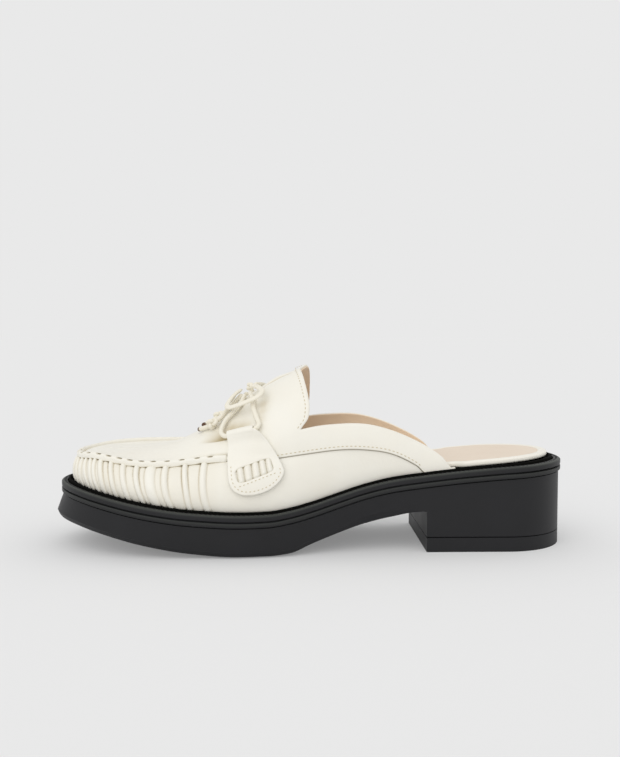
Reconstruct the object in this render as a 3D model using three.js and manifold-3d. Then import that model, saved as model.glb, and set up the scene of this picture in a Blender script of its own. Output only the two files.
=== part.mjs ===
// Loafer mule, left shoe: ribbed platform sole with a block heel, a backless ruched upper and a tied lace.
// Millimetres. X runs from the toe (-X) to the heel (+X), -Y is the lateral (outer) side, Z is up from the floor.
import * as THREE from "three";
import * as BufferGeometryUtils from "three/addons/utils/BufferGeometryUtils.js";
import Module from "manifold-3d";

const wasm = await Module();
wasm.setup();

// Driving dimensions of the sole
const SOLE_LENGTH = 267;
const BALL_WIDTH = 93;
const HEEL_WIDTH = 67;
const FOREFOOT_HEIGHT = 21.3; // floor to the top of the welt, under the ball
const HEEL_HEIGHT = 44.4; // floor to the top of the welt, at the back
const TOE_SPRING = 15; // lift of the sole's underside at the toe tip
const TOE_RISE = 12.6; // rise of the welt's top from the ball to the toe tip
const ARCH_HEIGHT = 21; // floor to the sole's underside, in front of the heel
const HEEL_BLOCK_LENGTH = 75.5;
const HEEL_LIFT = 7.2;
const HEEL_TOP_DROP = 3; // how far the heel block reaches into the sole
const WELT_HEIGHT = 6.4;
const LIP_HEIGHT = 1.3; // raised inner edge of the welt
const TOE_CURVE = 66; // length of the rounded toe in plan
const HEEL_CURVE = 33;
const TOE_SQUARENESS = 2.1;
const WELT_SETBACK = 2.4; // how far the sole's toe stands forward of the welt's tip
const SOLE_EDGE_INSET = 1; // the sole's side stands in from the welt's edge by this
const SOLE_EDGE_ROUND = 3.2; // height of the rounded edge of the underside
const SOLE_EDGE_DRAFT = 5.2; // how far the rounding takes the underside in at the ball
const TOE_INSET_FACTOR = 1.2; // pieces stand further in from the welt at the toe
const HEEL_INSET_FACTOR = 1.5; // and further still at the back

// Driving dimensions of the upper and what lies in it
const FEATHER_INSET = 5.2; // welt edge to the foot of the upper
const UPPER_WALL = 2.0;
const BAND_STEP = 0.8; // how far the apron and collar band stand over the lower piece
const FOOT_GAP = 0.5; // welt top to the foot of the upper
const SEAM_LAP = 4; // how far the lower piece runs on under the band
const SEAM_HEIGHT = 26.4; // welt top to the seam between the two pieces
const INSTEP_RISE = 69.5; // welt top to the crest of the instep
const COLLAR_RISE = 37.8; // welt top to the collar beside the tongue
const WALL_BULGE = 3.2;
const SEAM_TOE_INSET = 9.2; // welt tip to the seam at the toe
const THROAT = 128; // toe tip to the corner between tongue and collar
const TONGUE_FLARE = 5.4; // how far the sides of the tongue reach back past its crest
const QUARTER_END = 206; // toe tip to the back end of the collar
const QUARTER_END_HEIGHT = 1.4;
const RIDGE_WIDTH = 2.8;
const RIDGE_HEIGHT = 2.2;
const RIDGE_END = 91; // toe tip to the place where the ridge runs under the tab
const INSOLE_THICKNESS = 3.3;
const INSOLE_INSET = 4.7; // welt edge to the bare rim of the insole
const SOCK_THICKNESS = 0.7;
const SOCK_INSET = 3;
const INSOLE_GAP = 0.7; // between the insole and the upper's wall
const SEAM_CURVE_SHARE = 0.82; // the seam line turns in round the toe in this share of TOE_CURVE
const CLEARANCE = 0.3;

// Driving dimensions of the saddle tabs and the lace that runs through their folded tops
const TAB_FRONT = 91.8; // toe tip to the front edge of a tab
const TAB_WIDTH = 28;
const TAB_FOOT = 9.7; // welt top under the ball to the lower edge of a tab
const TAB_HEIGHT = 31;
const TAB_THICKNESS = 1.8;
const FOLD_WIDTH = 13.8; // length of the folded top along the shoe
const FOLD_WALL = 0.8;
const WINDOW_LENGTH = 18.2;
const WINDOW_HEIGHT = 6.4;
const WINDOW_TILT = 19.5; // degrees
const WINDOW_AHEAD = 6.2; // front edge of a tab to the lower front corner of its window
const WINDOW_ABOVE = 4.9; // lower edge of a tab to that corner
const PLEATS = 5;
const PLEAT_BACKING = 0.8;
const PLEAT_HEIGHT = 1.4;
const LACE = 2.4;
const KNOT_RADIUS = 3.1;
const END_KNOT_RADIUS = 2.5;

// Colours
const CREAM = 0xf3f0e4;
const BEIGE = 0xe2d3c2;
const BLACK = 0x2d2d2f;

const TOE = -SOLE_LENGTH / 2;
const HEEL = SOLE_LENGTH / 2;
const WELT_TOE = TOE + WELT_SETBACK;
const BREAST = HEEL - HEEL_BLOCK_LENGTH;
const SIDES = { lateral: -1, medial: 1 };

// Plan and profile of the sole. at: share of the length from the toe. lateral, medial: half widths between ball and
// heel, 1 being half the ball width and 0 half the heel width. spring, rise, arch: shares of TOE_SPRING, TOE_RISE and
// ARCH_HEIGHT. pitch: share of the climb from FOREFOOT_HEIGHT to HEEL_HEIGHT.
const SOLE_ROWS = [
  { at: 0.0, lateral: 1.0, medial: 0.98, spring: 1.0, rise: 1.0, arch: 0, pitch: 0 },
  { at: 0.05, lateral: 1.0, medial: 0.99, spring: 0.9, rise: 0.89, arch: 0, pitch: 0 },
  { at: 0.1, lateral: 1.0, medial: 1.0, spring: 0.72, rise: 0.71, arch: 0, pitch: 0 },
  { at: 0.2, lateral: 1.0, medial: 1.0, spring: 0.34, rise: 0.33, arch: 0, pitch: 0 },
  { at: 0.28, lateral: 1.0, medial: 1.0, spring: 0.11, rise: 0.11, arch: 0, pitch: 0 },
  { at: 0.36, lateral: 1.0, medial: 0.86, spring: 0, rise: 0.01, arch: 0, pitch: 0 },
  { at: 0.42, lateral: 0.87, medial: 0.66, spring: 0, rise: 0, arch: 0, pitch: 0.01 },
  { at: 0.46, lateral: 0.71, medial: 0.49, spring: 0, rise: 0, arch: 0.04, pitch: 0.07 },
  { at: 0.5, lateral: 0.5, medial: 0.34, spring: 0, rise: 0, arch: 0.23, pitch: 0.175 },
  { at: 0.55, lateral: 0.29, medial: 0.2, spring: 0, rise: 0, arch: 0.46, pitch: 0.35 },
  { at: 0.6, lateral: 0.15, medial: 0.12, spring: 0, rise: 0, arch: 0.68, pitch: 0.525 },
  { at: 0.65, lateral: 0.06, medial: 0.12, spring: 0, rise: 0, arch: 0.85, pitch: 0.655 },
  { at: 0.7, lateral: 0.01, medial: 0.14, spring: 0, rise: 0, arch: 0.97, pitch: 0.735 },
  { at: 0.8, lateral: 0, medial: 0.06, spring: 0, rise: 0, arch: 1, pitch: 0.865 },
  { at: 0.9, lateral: 0, medial: 0, spring: 0, rise: 0, arch: 1, pitch: 0.955 },
  { at: 1.0, lateral: 0, medial: 0, spring: 0, rise: 0, arch: 1, pitch: 1 },
];

// Section of the welt's edge, from its foot up over two ribs, a groove and the inner lip.
// inset: share of FEATHER_INSET. height: share of WELT_HEIGHT up from the foot. lip: share of LIP_HEIGHT.
const WELT_ROWS = [
  { inset: 0.21, height: 0.02, lip: 0 },
  { inset: 0.01, height: 0.12, lip: 0 },
  { inset: 0.0, height: 0.37, lip: 0 },
  { inset: 0.17, height: 0.47, lip: 0 },
  { inset: 0.01, height: 0.57, lip: 0 },
  { inset: 0.0, height: 0.86, lip: 0 },
  { inset: 0.19, height: 1.0, lip: 0 },
  { inset: 0.42, height: 1.0, lip: 0 },
  { inset: 0.5, height: 0.94, lip: 0 },
  { inset: 0.57, height: 1.0, lip: 0.8 },
  { inset: 0.68, height: 1.0, lip: 1.0 },
  { inset: 0.77, height: 1.0, lip: 0.8 },
  { inset: 0.78, height: 1.0, lip: 0.0 },
];

// Lines of the upper. tuck: how far the seam stands in from the foot of the upper, as a share of BALL_WIDTH.
// lateral, medial: seam height, shares of SEAM_HEIGHT. crest: share of INSTEP_RISE. arched: 0 for a flat crown like a
// parabola, 1 for a round arch. bulge: share of WALL_BULGE. collar: share of COLLAR_RISE. lean: how far the
// collar leans in, in shares of what the arch gives at the throat.
const UPPER_ROWS = [
  { at: 0.03, tuck: 0.072, lateral: 0.49, medial: 0.5, crest: 0.215, arched: 0, bulge: 0.5, collar: 1, lean: 1 },
  { at: 0.1, tuck: 0.088, lateral: 0.635, medial: 0.67, crest: 0.273, arched: 0, bulge: 0.7, collar: 1, lean: 1 },
  { at: 0.16, tuck: 0.1, lateral: 0.66, medial: 0.8, crest: 0.325, arched: 0, bulge: 0.9, collar: 1, lean: 1 },
  { at: 0.22, tuck: 0.108, lateral: 0.74, medial: 0.9, crest: 0.393, arched: 0, bulge: 1, collar: 1, lean: 1 },
  { at: 0.28, tuck: 0.108, lateral: 0.87, medial: 0.975, crest: 0.5, arched: 0.15, bulge: 1, collar: 1, lean: 1 },
  { at: 0.34, tuck: 0.09, lateral: 0.97, medial: 1.03, crest: 0.69, arched: 0.5, bulge: 0.9, collar: 1, lean: 1 },
  { at: 0.4, tuck: 0.058, lateral: 1.0, medial: 1.04, crest: 0.84, arched: 0.85, bulge: 0.75, collar: 1, lean: 1 },
  { at: 0.46, tuck: 0.03, lateral: 0.99, medial: 1.03, crest: 0.945, arched: 1, bulge: 0.6, collar: 1, lean: 1 },
  { at: 0.5, tuck: 0.013, lateral: 0.95, medial: 0.99, crest: 1.0, arched: 1, bulge: 0.5, collar: 0.99, lean: 1.1 },
  { at: 0.55, tuck: -0.004, lateral: 0.85, medial: 0.89, crest: 1.04, arched: 1, bulge: 0.4, collar: 0.92, lean: 1.3 },
  { at: 0.6, tuck: -0.012, lateral: 0.69, medial: 0.72, crest: 1.06, arched: 1, bulge: 0.4, collar: 0.81, lean: 1.3 },
  { at: 0.65, tuck: -0.012, lateral: 0.49, medial: 0.52, crest: 1.06, arched: 1, bulge: 0.4, collar: 0.645, lean: 1.3 },
  { at: 0.7, tuck: -0.003, lateral: 0.17, medial: 0.19, crest: 1.06, arched: 1, bulge: 0.2, collar: 0.445, lean: 1.2 },
  { at: 0.718, tuck: 0, lateral: 0, medial: 0, crest: 1.06, arched: 1, bulge: 0, collar: 0.36, lean: 1.1 },
  { at: 0.745, tuck: 0, lateral: 0, medial: 0, crest: 1.06, arched: 1, bulge: 0, collar: 0.21, lean: 0.8 },
  { at: 0.772, tuck: 0, lateral: 0, medial: 0, crest: 1.06, arched: 1, bulge: 0, collar: 0, lean: 0.3 },
];

// Back edge of the tongue. up: from the throat corner (0) over the side to the crest (1). flare: share of TONGUE_FLARE.
const TONGUE_ROWS = [
  { at: 0.0, flare: 0.1 },
  { at: 0.1, flare: 0.7 },
  { at: 0.22, flare: 1.0 },
  { at: 0.42, flare: 0.72 },
  { at: 0.6, flare: 0.34 },
  { at: 1.0, flare: 0.0 },
];

// Monotone cubic curve through one column of a table, flat beyond its ends
function column(rows, name, at) {
  if (at <= rows[0].at) return rows[0][name];
  const last = rows.length - 1;
  if (at >= rows[last].at) return rows[last][name];
  const slope = (k) => (rows[k + 1][name] - rows[k][name]) / (rows[k + 1].at - rows[k].at);
  const tangent = (k) => {
    if (k === 0 || k === last) return 0;
    const before = slope(k - 1);
    const after = slope(k);
    return before * after <= 0 ? 0 : (2 * before * after) / (before + after);
  };
  let k = 0;
  while (rows[k + 1].at < at) k += 1;
  const span = rows[k + 1].at - rows[k].at;
  const u = (at - rows[k].at) / span;
  const start = rows[k][name] * (1 + 2 * u) * (1 - u) ** 2 + span * tangent(k) * u * (1 - u) ** 2;
  const end = rows[k + 1][name] * u * u * (3 - 2 * u) - span * tangent(k + 1) * u * u * (1 - u);
  return start + end;
}

const share = (x) => (x - TOE) / SOLE_LENGTH;
const mix = THREE.MathUtils.lerp;
const QUARTER_TURN = Math.PI / 2;

// Heights along the sole
const weltTop = (x) =>
  FOREFOOT_HEIGHT +
  TOE_RISE * column(SOLE_ROWS, "rise", share(x)) +
  (HEEL_HEIGHT - FOREFOOT_HEIGHT) * column(SOLE_ROWS, "pitch", share(x));
const weltFoot = (x) => weltTop(x) - WELT_HEIGHT;
const underside = (x) =>
  TOE_SPRING * column(SOLE_ROWS, "spring", share(x)) + ARCH_HEIGHT * column(SOLE_ROWS, "arch", share(x));

// Rounded end of a plan: 0 at the tip, 1 where the straight sides begin
const roundEnd = (distance, length, power) =>
  distance >= length ? 1 : (1 - (1 - Math.max(distance, 0) / length) ** power) ** (1 / power);

const bodyHalfWidth = (side, x) => mix(HEEL_WIDTH, BALL_WIDTH, column(SOLE_ROWS, side, share(x))) / 2;

// Half width of the sole's plan, a given inset in from the welt's edge
function planHalfWidth(side, x, inset) {
  const toeTip = WELT_TOE + inset * TOE_INSET_FACTOR;
  const heelTip = HEEL - inset * HEEL_INSET_FACTOR;
  const toeRound = roundEnd(x - toeTip, TOE_CURVE, TOE_SQUARENESS);
  const heelRound = roundEnd(heelTip - x, HEEL_CURVE, 2);
  return Math.max(bodyHalfWidth(side, x) - inset, 0) * toeRound * heelRound;
}

// One level of a lofted plan: its lateral and medial edges at the same stations
function level(stations, halfWidth, height) {
  const edge = (side) => stations.map((x) => new THREE.Vector3(x, SIDES[side] * halfWidth(side, x), height(x)));
  return { lateral: edge("lateral"), medial: edge("medial") };
}

const PLAN_STATIONS = 30;
// Stations between two tips, close together at both
const fullStations = (from, to) =>
  Array.from({ length: PLAN_STATIONS + 1 }, (_, k) => {
    return from + ((to - from) * (1 - Math.cos((Math.PI * k) / PLAN_STATIONS))) / 2;
  });
const HEEL_STATIONS = 14;
// Stations from a square end to a rounded tip
const heelStations = (from, to) =>
  Array.from({ length: HEEL_STATIONS + 1 }, (_, k) => mix(from, to, Math.sin((QUARTER_TURN * k) / HEEL_STATIONS)));

function planLevel(inset, height) {
  const stations = fullStations(WELT_TOE + inset * TOE_INSET_FACTOR, HEEL - inset * HEEL_INSET_FACTOR);
  return level(stations, (side, x) => planHalfWidth(side, x, inset), height);
}

// Triangles to solid, welded
function solid(corners) {
  const loose = new THREE.BufferGeometry();
  const values = new Float32Array(corners.flatMap((p) => [p.x, p.y, p.z]));
  loose.setAttribute("position", new THREE.BufferAttribute(values, 3));
  const welded = BufferGeometryUtils.mergeVertices(loose, 1e-4);
  const kept = [];
  for (let k = 0; k < welded.index.count; k += 3) {
    const [a, b, c] = [0, 1, 2].map((n) => welded.index.getX(k + n));
    if (a !== b && b !== c && c !== a) kept.push(a, b, c);
  }
  const mesh = new wasm.Mesh({
    numProp: 3,
    vertProperties: welded.attributes.position.array,
    triVerts: new Uint32Array(kept),
  });
  return new wasm.Manifold(mesh);
}

const quad = (a, b, c, d) => [a, b, c, a, c, d];

// Body through a stack of levels, the first closed below and the last above
function loft(levels) {
  const corners = [];
  const last = levels[0].lateral.length - 1;
  for (let k = 0; k + 1 < levels.length; k += 1) {
    const low = levels[k];
    const high = levels[k + 1];
    for (let i = 0; i < last; i += 1) {
      corners.push(...quad(low.lateral[i], low.lateral[i + 1], high.lateral[i + 1], high.lateral[i]));
      corners.push(...quad(low.medial[i + 1], low.medial[i], high.medial[i], high.medial[i + 1]));
    }
    corners.push(...quad(low.medial[0], low.lateral[0], high.lateral[0], high.medial[0]));
    corners.push(...quad(low.lateral[last], low.medial[last], high.medial[last], high.lateral[last]));
  }
  const floor = levels[0];
  const roof = levels[levels.length - 1];
  for (let i = 0; i < last; i += 1) {
    corners.push(...quad(floor.lateral[i], floor.medial[i], floor.medial[i + 1], floor.lateral[i + 1]));
    corners.push(...quad(roof.lateral[i], roof.lateral[i + 1], roof.medial[i + 1], roof.medial[i]));
  }
  return solid(corners);
}

// Sheet of leather: grids of points that share their edges, with a face at outer and one at inner from them. The
// ribs, if any, give how much further out the outer face stands at a point of the grid.
function sheet(grids, outer, inner, ribs = () => 0) {
  const points = new Map();
  const faces = [];
  const key = (p) => p.toArray().map((v) => Math.round(v * 1e4)).join();
  const index = (p) => {
    const name = key(p);
    if (!points.has(name)) points.set(name, { place: p.clone(), normal: new THREE.Vector3(), rib: ribs(p) });
    return name;
  };
  const face = (a, b, c) => {
    const names = [index(a), index(b), index(c)];
    if (new Set(names).size < 3) return;
    const normal = b.clone().sub(a).cross(c.clone().sub(a));
    names.forEach((name) => points.get(name).normal.add(normal));
    faces.push(names);
  };
  for (const grid of grids) {
    for (let i = 0; i + 1 < grid.length; i += 1) {
      for (let j = 0; j + 1 < grid[i].length; j += 1) {
        const [a, b, c, d] = [grid[i][j], grid[i + 1][j], grid[i + 1][j + 1], grid[i][j + 1]];
        face(a, b, c);
        face(a, c, d);
      }
    }
  }
  const at = (name, offset) => {
    const { place, normal, rib } = points.get(name);
    const out = offset === outer ? outer + rib : offset;
    return place.clone().addScaledVector(normal.clone().normalize(), out);
  };
  const edges = new Set(faces.flatMap(([a, b, c]) => [`${a}|${b}`, `${b}|${c}`, `${c}|${a}`]));
  const corners = [];
  for (const [a, b, c] of faces) {
    corners.push(at(a, outer), at(b, outer), at(c, outer));
    corners.push(at(a, inner), at(c, inner), at(b, inner));
  }
  for (const edge of edges) {
    const [a, b] = edge.split("|");
    if (!edges.has(`${b}|${a}`)) corners.push(...quad(at(b, outer), at(a, outer), at(a, inner), at(b, inner)));
  }
  return solid(corners);
}

// The upper's own function. Its foot, its seam line and its crest all follow the sole.
const SEAM_TOE = WELT_TOE + SEAM_TOE_INSET;
const FEATHER_TOE = WELT_TOE + FEATHER_INSET * TOE_INSET_FACTOR;
const UPPER_END = TOE + QUARTER_END;
const SEAM_END = TOE + UPPER_ROWS.find((row) => row.lateral === 0).at * SOLE_LENGTH;
const SEAM_CURVE = TOE_CURVE * SEAM_CURVE_SHARE;
const footHeight = (x) => weltTop(x) + FOOT_GAP;
const seamHeight = (side, x) =>
  footHeight(x) + (SEAM_HEIGHT - FOOT_GAP) * column(UPPER_ROWS, side, share(x));
const crestHeight = (x) => weltTop(x) + INSTEP_RISE * column(UPPER_ROWS, "crest", share(x));

// Spread of stations from a tip: close together there, wide apart at the far end
const fromTip = (s) => 1 - Math.cos(QUARTER_TURN * s);

// Outline of the wall as a Bezier curve, up from its foot (q = 0) to the seam (q = 1). Its two middle points are
// the bulge and the shoulder.
const wallWeights = (q) => [3 * q * (1 - q) ** 2, 3 * q * q * (1 - q), q ** 3];
const BULGE_LEVEL = 0.35; // heights of the two middle points, shares of the height of the seam
const SHOULDER_LEVEL = 0.88;
const SHOULDER_TUCK = 0.35; // the shoulder stands in by this share of the seam's tuck
const SHOULDER_BULGE = 0.4;

function wallInset(q, bulge, tuck) {
  const [low, high, top] = wallWeights(q);
  return -low * bulge + high * (SHOULDER_TUCK * tuck - SHOULDER_BULGE * bulge) + top * tuck;
}

const wallTip = (q) => FEATHER_TOE + wallInset(q, WALL_BULGE * UPPER_ROWS[0].bulge, SEAM_TOE - FEATHER_TOE);

// Point of the wall at x
function wallAt(side, x, q) {
  const bulge = WALL_BULGE * column(UPPER_ROWS, "bulge", share(x));
  const tuck = BALL_WIDTH * column(UPPER_ROWS, "tuck", share(x));
  const halfWidth = bodyHalfWidth(side, x) - FEATHER_INSET - wallInset(q, bulge, tuck);
  const curve = mix(TOE_CURVE, SEAM_CURVE, q);
  const y = SIDES[side] * halfWidth * roundEnd(x - wallTip(q), curve, TOE_SQUARENESS);
  const [low, high, top] = wallWeights(q);
  const rise = low * BULGE_LEVEL + high * SHOULDER_LEVEL + top;
  return new THREE.Vector3(x, y, mix(footHeight(x), seamHeight(side, x), rise));
}

// Point of the wall at station s, from the toe tip (0) to x = end (1)
const wallPoint = (side, s, q, end) => wallAt(side, wallTip(q) + (end - wallTip(q)) * fromTip(s), q);

// Half width at the seam line
function seamHalfWidth(side, x) {
  const tuck = BALL_WIDTH * column(UPPER_ROWS, "tuck", share(x));
  const taper = roundEnd(x - SEAM_TOE, SEAM_CURVE, TOE_SQUARENESS);
  return (bodyHalfWidth(side, x) - FEATHER_INSET - tuck) * taper;
}

// Point of the crown at an angle up from the seam (0) to the crest (a quarter turn)
function crownPoint(side, x, angle) {
  const low = seamHeight(side, x);
  const taper = roundEnd(x - SEAM_TOE, SEAM_CURVE, TOE_SQUARENESS);
  const flat = Math.sin(angle) ** 2;
  const round = Math.sin(angle);
  const up = mix(flat, round, column(UPPER_ROWS, "arched", share(x)));
  const y = SIDES[side] * seamHalfWidth(side, x) * Math.cos(angle);
  return new THREE.Vector3(x, y, low + (crestHeight(x) - low) * taper * up);
}

const THROAT_X = TOE + THROAT;
const collarHeight = (x) =>
  weltTop(x) + Math.max(COLLAR_RISE * column(UPPER_ROWS, "collar", share(x)), QUARTER_END_HEIGHT);

// Angle up the arch at which the collar meets the tongue
const throatAngle = (side) => {
  const low = seamHeight(side, THROAT_X);
  return Math.asin((collarHeight(THROAT_X) - low) / (crestHeight(THROAT_X) - low));
};

// Point of the collar band behind the throat, up from the seam (r = 0) to the collar (r = 1)
function bandPoint(side, x, r) {
  const lean = Math.sin(throatAngle(side)) * column(UPPER_ROWS, "lean", share(x));
  const leanAtThroat = column(UPPER_ROWS, "lean", share(THROAT_X));
  const y = SIDES[side] * seamHalfWidth(side, x) * Math.sqrt(1 - ((lean / leanAtThroat) * r) ** 2);
  return new THREE.Vector3(x, y, mix(seamHeight(side, x), collarHeight(x), r));
}

const BAND_ROWS = 3;
const CROWN_ROWS = 6;
// Angles up one side: the band's rows to the throat corner, then the rows up to the crest
function crownAngles(side) {
  const corner = throatAngle(side);
  const band = Array.from({ length: BAND_ROWS }, (_, k) => Math.asin((k / BAND_ROWS) * Math.sin(corner)));
  const arch = Array.from({ length: CROWN_ROWS + 1 }, (_, k) => mix(corner, QUARTER_TURN, k / CROWN_ROWS));
  return [...band, ...arch];
}

// Where a row of the crown ends: the throat, or the back edge of the tongue
function crownEnd(side, angle) {
  const corner = throatAngle(side);
  if (angle < corner) return THROAT_X;
  const up = (angle - corner) / (QUARTER_TURN - corner);
  return THROAT_X + TONGUE_FLARE * column(TONGUE_ROWS, "flare", up);
}

const CROWN_STATIONS = 26;
const BAND_STATIONS = 12;
const WALL_STATIONS = 26;
const WALL_ROWS = 5;
const LAP_ANGLE = 0.3; // the lower piece runs on under the crown towards the point at this angle

function apronAndBand() {
  const front = [];
  for (let k = 0; k <= CROWN_STATIONS; k += 1) {
    const row = (side, angle) => {
      const x = SEAM_TOE + (crownEnd(side, angle) - SEAM_TOE) * fromTip(k / CROWN_STATIONS);
      return crownPoint(side, x, angle);
    };
    const lateral = crownAngles("lateral").map((angle) => row("lateral", angle));
    const medial = crownAngles("medial").map((angle) => row("medial", angle));
    front.push([...lateral, ...medial.reverse().slice(1)]);
  }
  const bands = ["lateral", "medial"].map((side) => {
    const grid = [];
    for (let k = 0; k <= BAND_STATIONS; k += 1) {
      const x = mix(THROAT_X, UPPER_END, k / BAND_STATIONS);
      const rows = Array.from({ length: BAND_ROWS + 1 }, (_, j) => bandPoint(side, x, j / BAND_ROWS));
      grid.push(rows);
    }
    return side === "lateral" ? grid : grid.reverse();
  });
  return sheet([front, ...bands], BAND_STEP, BAND_STEP - UPPER_WALL);
}

function wallAndQuarters() {
  const columns = (side) => {
    return Array.from({ length: WALL_STATIONS + 1 }, (_, k) => {
      const s = k / WALL_STATIONS;
      const rows = Array.from({ length: WALL_ROWS + 1 }, (_, j) => wallPoint(side, s, j / WALL_ROWS, SEAM_END));
      const seam = rows[WALL_ROWS];
      const inward = seam.x < THROAT_X ? crownPoint(side, seam.x, LAP_ANGLE) : bandPoint(side, seam.x, 0.5);
      const lap = inward.sub(seam);
      if (lap.length() > SEAM_LAP) lap.setLength(SEAM_LAP);
      return [...rows, seam.clone().add(lap)];
    });
  };
  const medial = columns("medial").reverse();
  return sheet([[...medial, ...columns("lateral").slice(1)]], 0, -UPPER_WALL);
}

// Raised edge of the moccasin seam, swept round the toe along the seam line
function seamRidge() {
  const line = (side) => {
    const end = TOE + RIDGE_END;
    return Array.from({ length: WALL_STATIONS + 1 }, (_, k) => {
      const x = SEAM_TOE + (end - SEAM_TOE) * fromTip(k / WALL_STATIONS);
      const halfWidth = seamHalfWidth(side, x) + BAND_STEP;
      return new THREE.Vector3(x, SIDES[side] * halfWidth, seamHeight(side, x) + BAND_STEP / 2);
    });
  };
  const path = [...line("medial").reverse(), ...line("lateral").slice(1)];
  const corners = [];
  const ring = (k) => {
    const ahead = path[Math.min(k + 1, path.length - 1)];
    const behind = path[Math.max(k - 1, 0)];
    const along = ahead.clone().sub(behind).normalize();
    const across = new THREE.Vector3(0, 0, 1).cross(along).normalize();
    const up = along.clone().cross(across);
    return Array.from({ length: 8 }, (_, n) => {
      const angle = (Math.PI * (2 * n + 1)) / 8;
      const offset = across.clone().multiplyScalar((RIDGE_WIDTH / 2) * Math.cos(angle));
      offset.addScaledVector(up, RIDGE_HEIGHT * Math.sin(angle));
      return path[k].clone().add(offset);
    });
  };
  const rings = path.map((_, k) => ring(k));
  for (let k = 0; k + 1 < rings.length; k += 1) {
    for (let n = 0; n < 8; n += 1) {
      const m = (n + 1) % 8;
      corners.push(...quad(rings[k][n], rings[k][m], rings[k + 1][m], rings[k + 1][n]));
    }
  }
  const cap = (points) => points.slice(2).flatMap((p, n) => [points[0], points[n + 1], p]);
  corners.push(...cap([...rings[0]].reverse()), ...cap(rings[rings.length - 1]));
  return solid(corners);
}

const ROUND_FADE_START = 0.2; // share of the way from mid-length to the breast

// Sole unit: plate and heel block in one. The plate's side leans forward at the toe, and its underside is drawn in by
// a rounded edge that dies away towards the heel block.
function soleLevel(draft, forward, height) {
  const toeTip = WELT_TOE + SOLE_EDGE_INSET - forward;
  const heelTip = HEEL - SOLE_EDGE_INSET;
  const drawnIn = (x) => {
    const fade = THREE.MathUtils.smoothstep(x, BREAST * ROUND_FADE_START, BREAST);
    return SOLE_EDGE_INSET + SOLE_EDGE_DRAFT * draft * (1 - fade);
  };
  const halfWidth = (side, x) => {
    const rounds = roundEnd(x - toeTip, TOE_CURVE, TOE_SQUARENESS) * roundEnd(heelTip - x, HEEL_CURVE, 2);
    return (bodyHalfWidth(side, x) - drawnIn(x)) * rounds;
  };
  return level(fullStations(toeTip, heelTip), halfWidth, height);
}

// Levels of the plate's rounded lower edge. draft: share of SOLE_EDGE_DRAFT. forward: share of the toe's reach over
// the welt's tip. up: share of SOLE_EDGE_ROUND.
const SOLE_LEVELS = [
  { draft: 1, forward: 0.1, up: 0 },
  { draft: 0.42, forward: 0.65, up: 0.25 },
  { draft: 0.12, forward: 1, up: 1 },
];

function outsole() {
  const reach = WELT_TOE + SOLE_EDGE_INSET - TOE;
  const levels = SOLE_LEVELS.map((row) => {
    return soleLevel(row.draft, reach * row.forward, (x) => underside(x) + SOLE_EDGE_ROUND * row.up);
  });
  levels.push(soleLevel(0, 0, (x) => weltFoot(x) - CLEARANCE / 2));
  return loft(levels).add(heelLoft(HEEL_LIFT + CLEARANCE, (x) => underside(x) + HEEL_TOP_DROP));
}

// Body of the heel's plan between two heights, from the breast to the back
function heelLoft(low, high) {
  const back = HEEL - SOLE_EDGE_INSET;
  const halfWidth = (side, x) => (bodyHalfWidth(side, x) - SOLE_EDGE_INSET) * roundEnd(back - x, HEEL_CURVE, 2);
  const stations = heelStations(BREAST, back);
  return loft([level(stations, halfWidth, () => low), level(stations, halfWidth, high)]);
}

function welt() {
  const levels = WELT_ROWS.map((row) => {
    const height = (x) => weltFoot(x) + WELT_HEIGHT * row.height + LIP_HEIGHT * row.lip;
    return planLevel(FEATHER_INSET * row.inset, height);
  });
  return loft(levels);
}

const INSOLE_STEP_OUT = 6; // length over which the insole widens behind the upper

// Inset of the insole from the welt's edge: inside the upper's wall in front, out at the rim behind it
function insoleInset(x) {
  const inUpper = FEATHER_INSET + UPPER_WALL + INSOLE_GAP;
  return mix(inUpper, INSOLE_INSET, THREE.MathUtils.smoothstep(x, UPPER_END, UPPER_END + INSOLE_STEP_OUT));
}

function insoleLevel(inset, height) {
  const toeTip = WELT_TOE + (insoleInset(WELT_TOE) + inset) * TOE_INSET_FACTOR;
  const heelTip = HEEL - (INSOLE_INSET + inset) * HEEL_INSET_FACTOR;
  const halfWidth = (side, x) => {
    const rounds = roundEnd(x - toeTip, TOE_CURVE, TOE_SQUARENESS) * roundEnd(heelTip - x, HEEL_CURVE, 2);
    return (bodyHalfWidth(side, x) - insoleInset(x) - inset) * rounds;
  };
  return level(fullStations(toeTip, heelTip), halfWidth, height);
}

const insoleTop = (x) => weltTop(x) + CLEARANCE + INSOLE_THICKNESS;
const INSOLE_CHAMFER = 0.8;

function insole() {
  return loft([
    insoleLevel(0, (x) => weltTop(x) + CLEARANCE),
    insoleLevel(0, (x) => insoleTop(x) - INSOLE_CHAMFER),
    insoleLevel(INSOLE_CHAMFER, insoleTop),
  ]);
}

function sock() {
  const low = (x) => insoleTop(x) + CLEARANCE;
  return loft([insoleLevel(SOCK_INSET, low), insoleLevel(SOCK_INSET, (x) => low(x) + SOCK_THICKNESS)]);
}

// Solid of a closed three.js geometry
function bodyOf(geometry) {
  const places = (geometry.index ? geometry.toNonIndexed() : geometry).attributes.position;
  return solid(Array.from({ length: places.count }, (_, k) => new THREE.Vector3().fromBufferAttribute(places, k)));
}

const CORD_SIDES = 8;
// Round cord along a curve
function cord(curve, radius, steps) {
  const corner = (n) => new THREE.Vector2(1, 0).rotateAround(new THREE.Vector2(), (2 * Math.PI * n) / CORD_SIDES);
  const section = new THREE.Shape(Array.from({ length: CORD_SIDES }, (_, n) => corner(n).multiplyScalar(radius)));
  return bodyOf(new THREE.ExtrudeGeometry(section, { steps, extrudePath: curve }));
}

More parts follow.
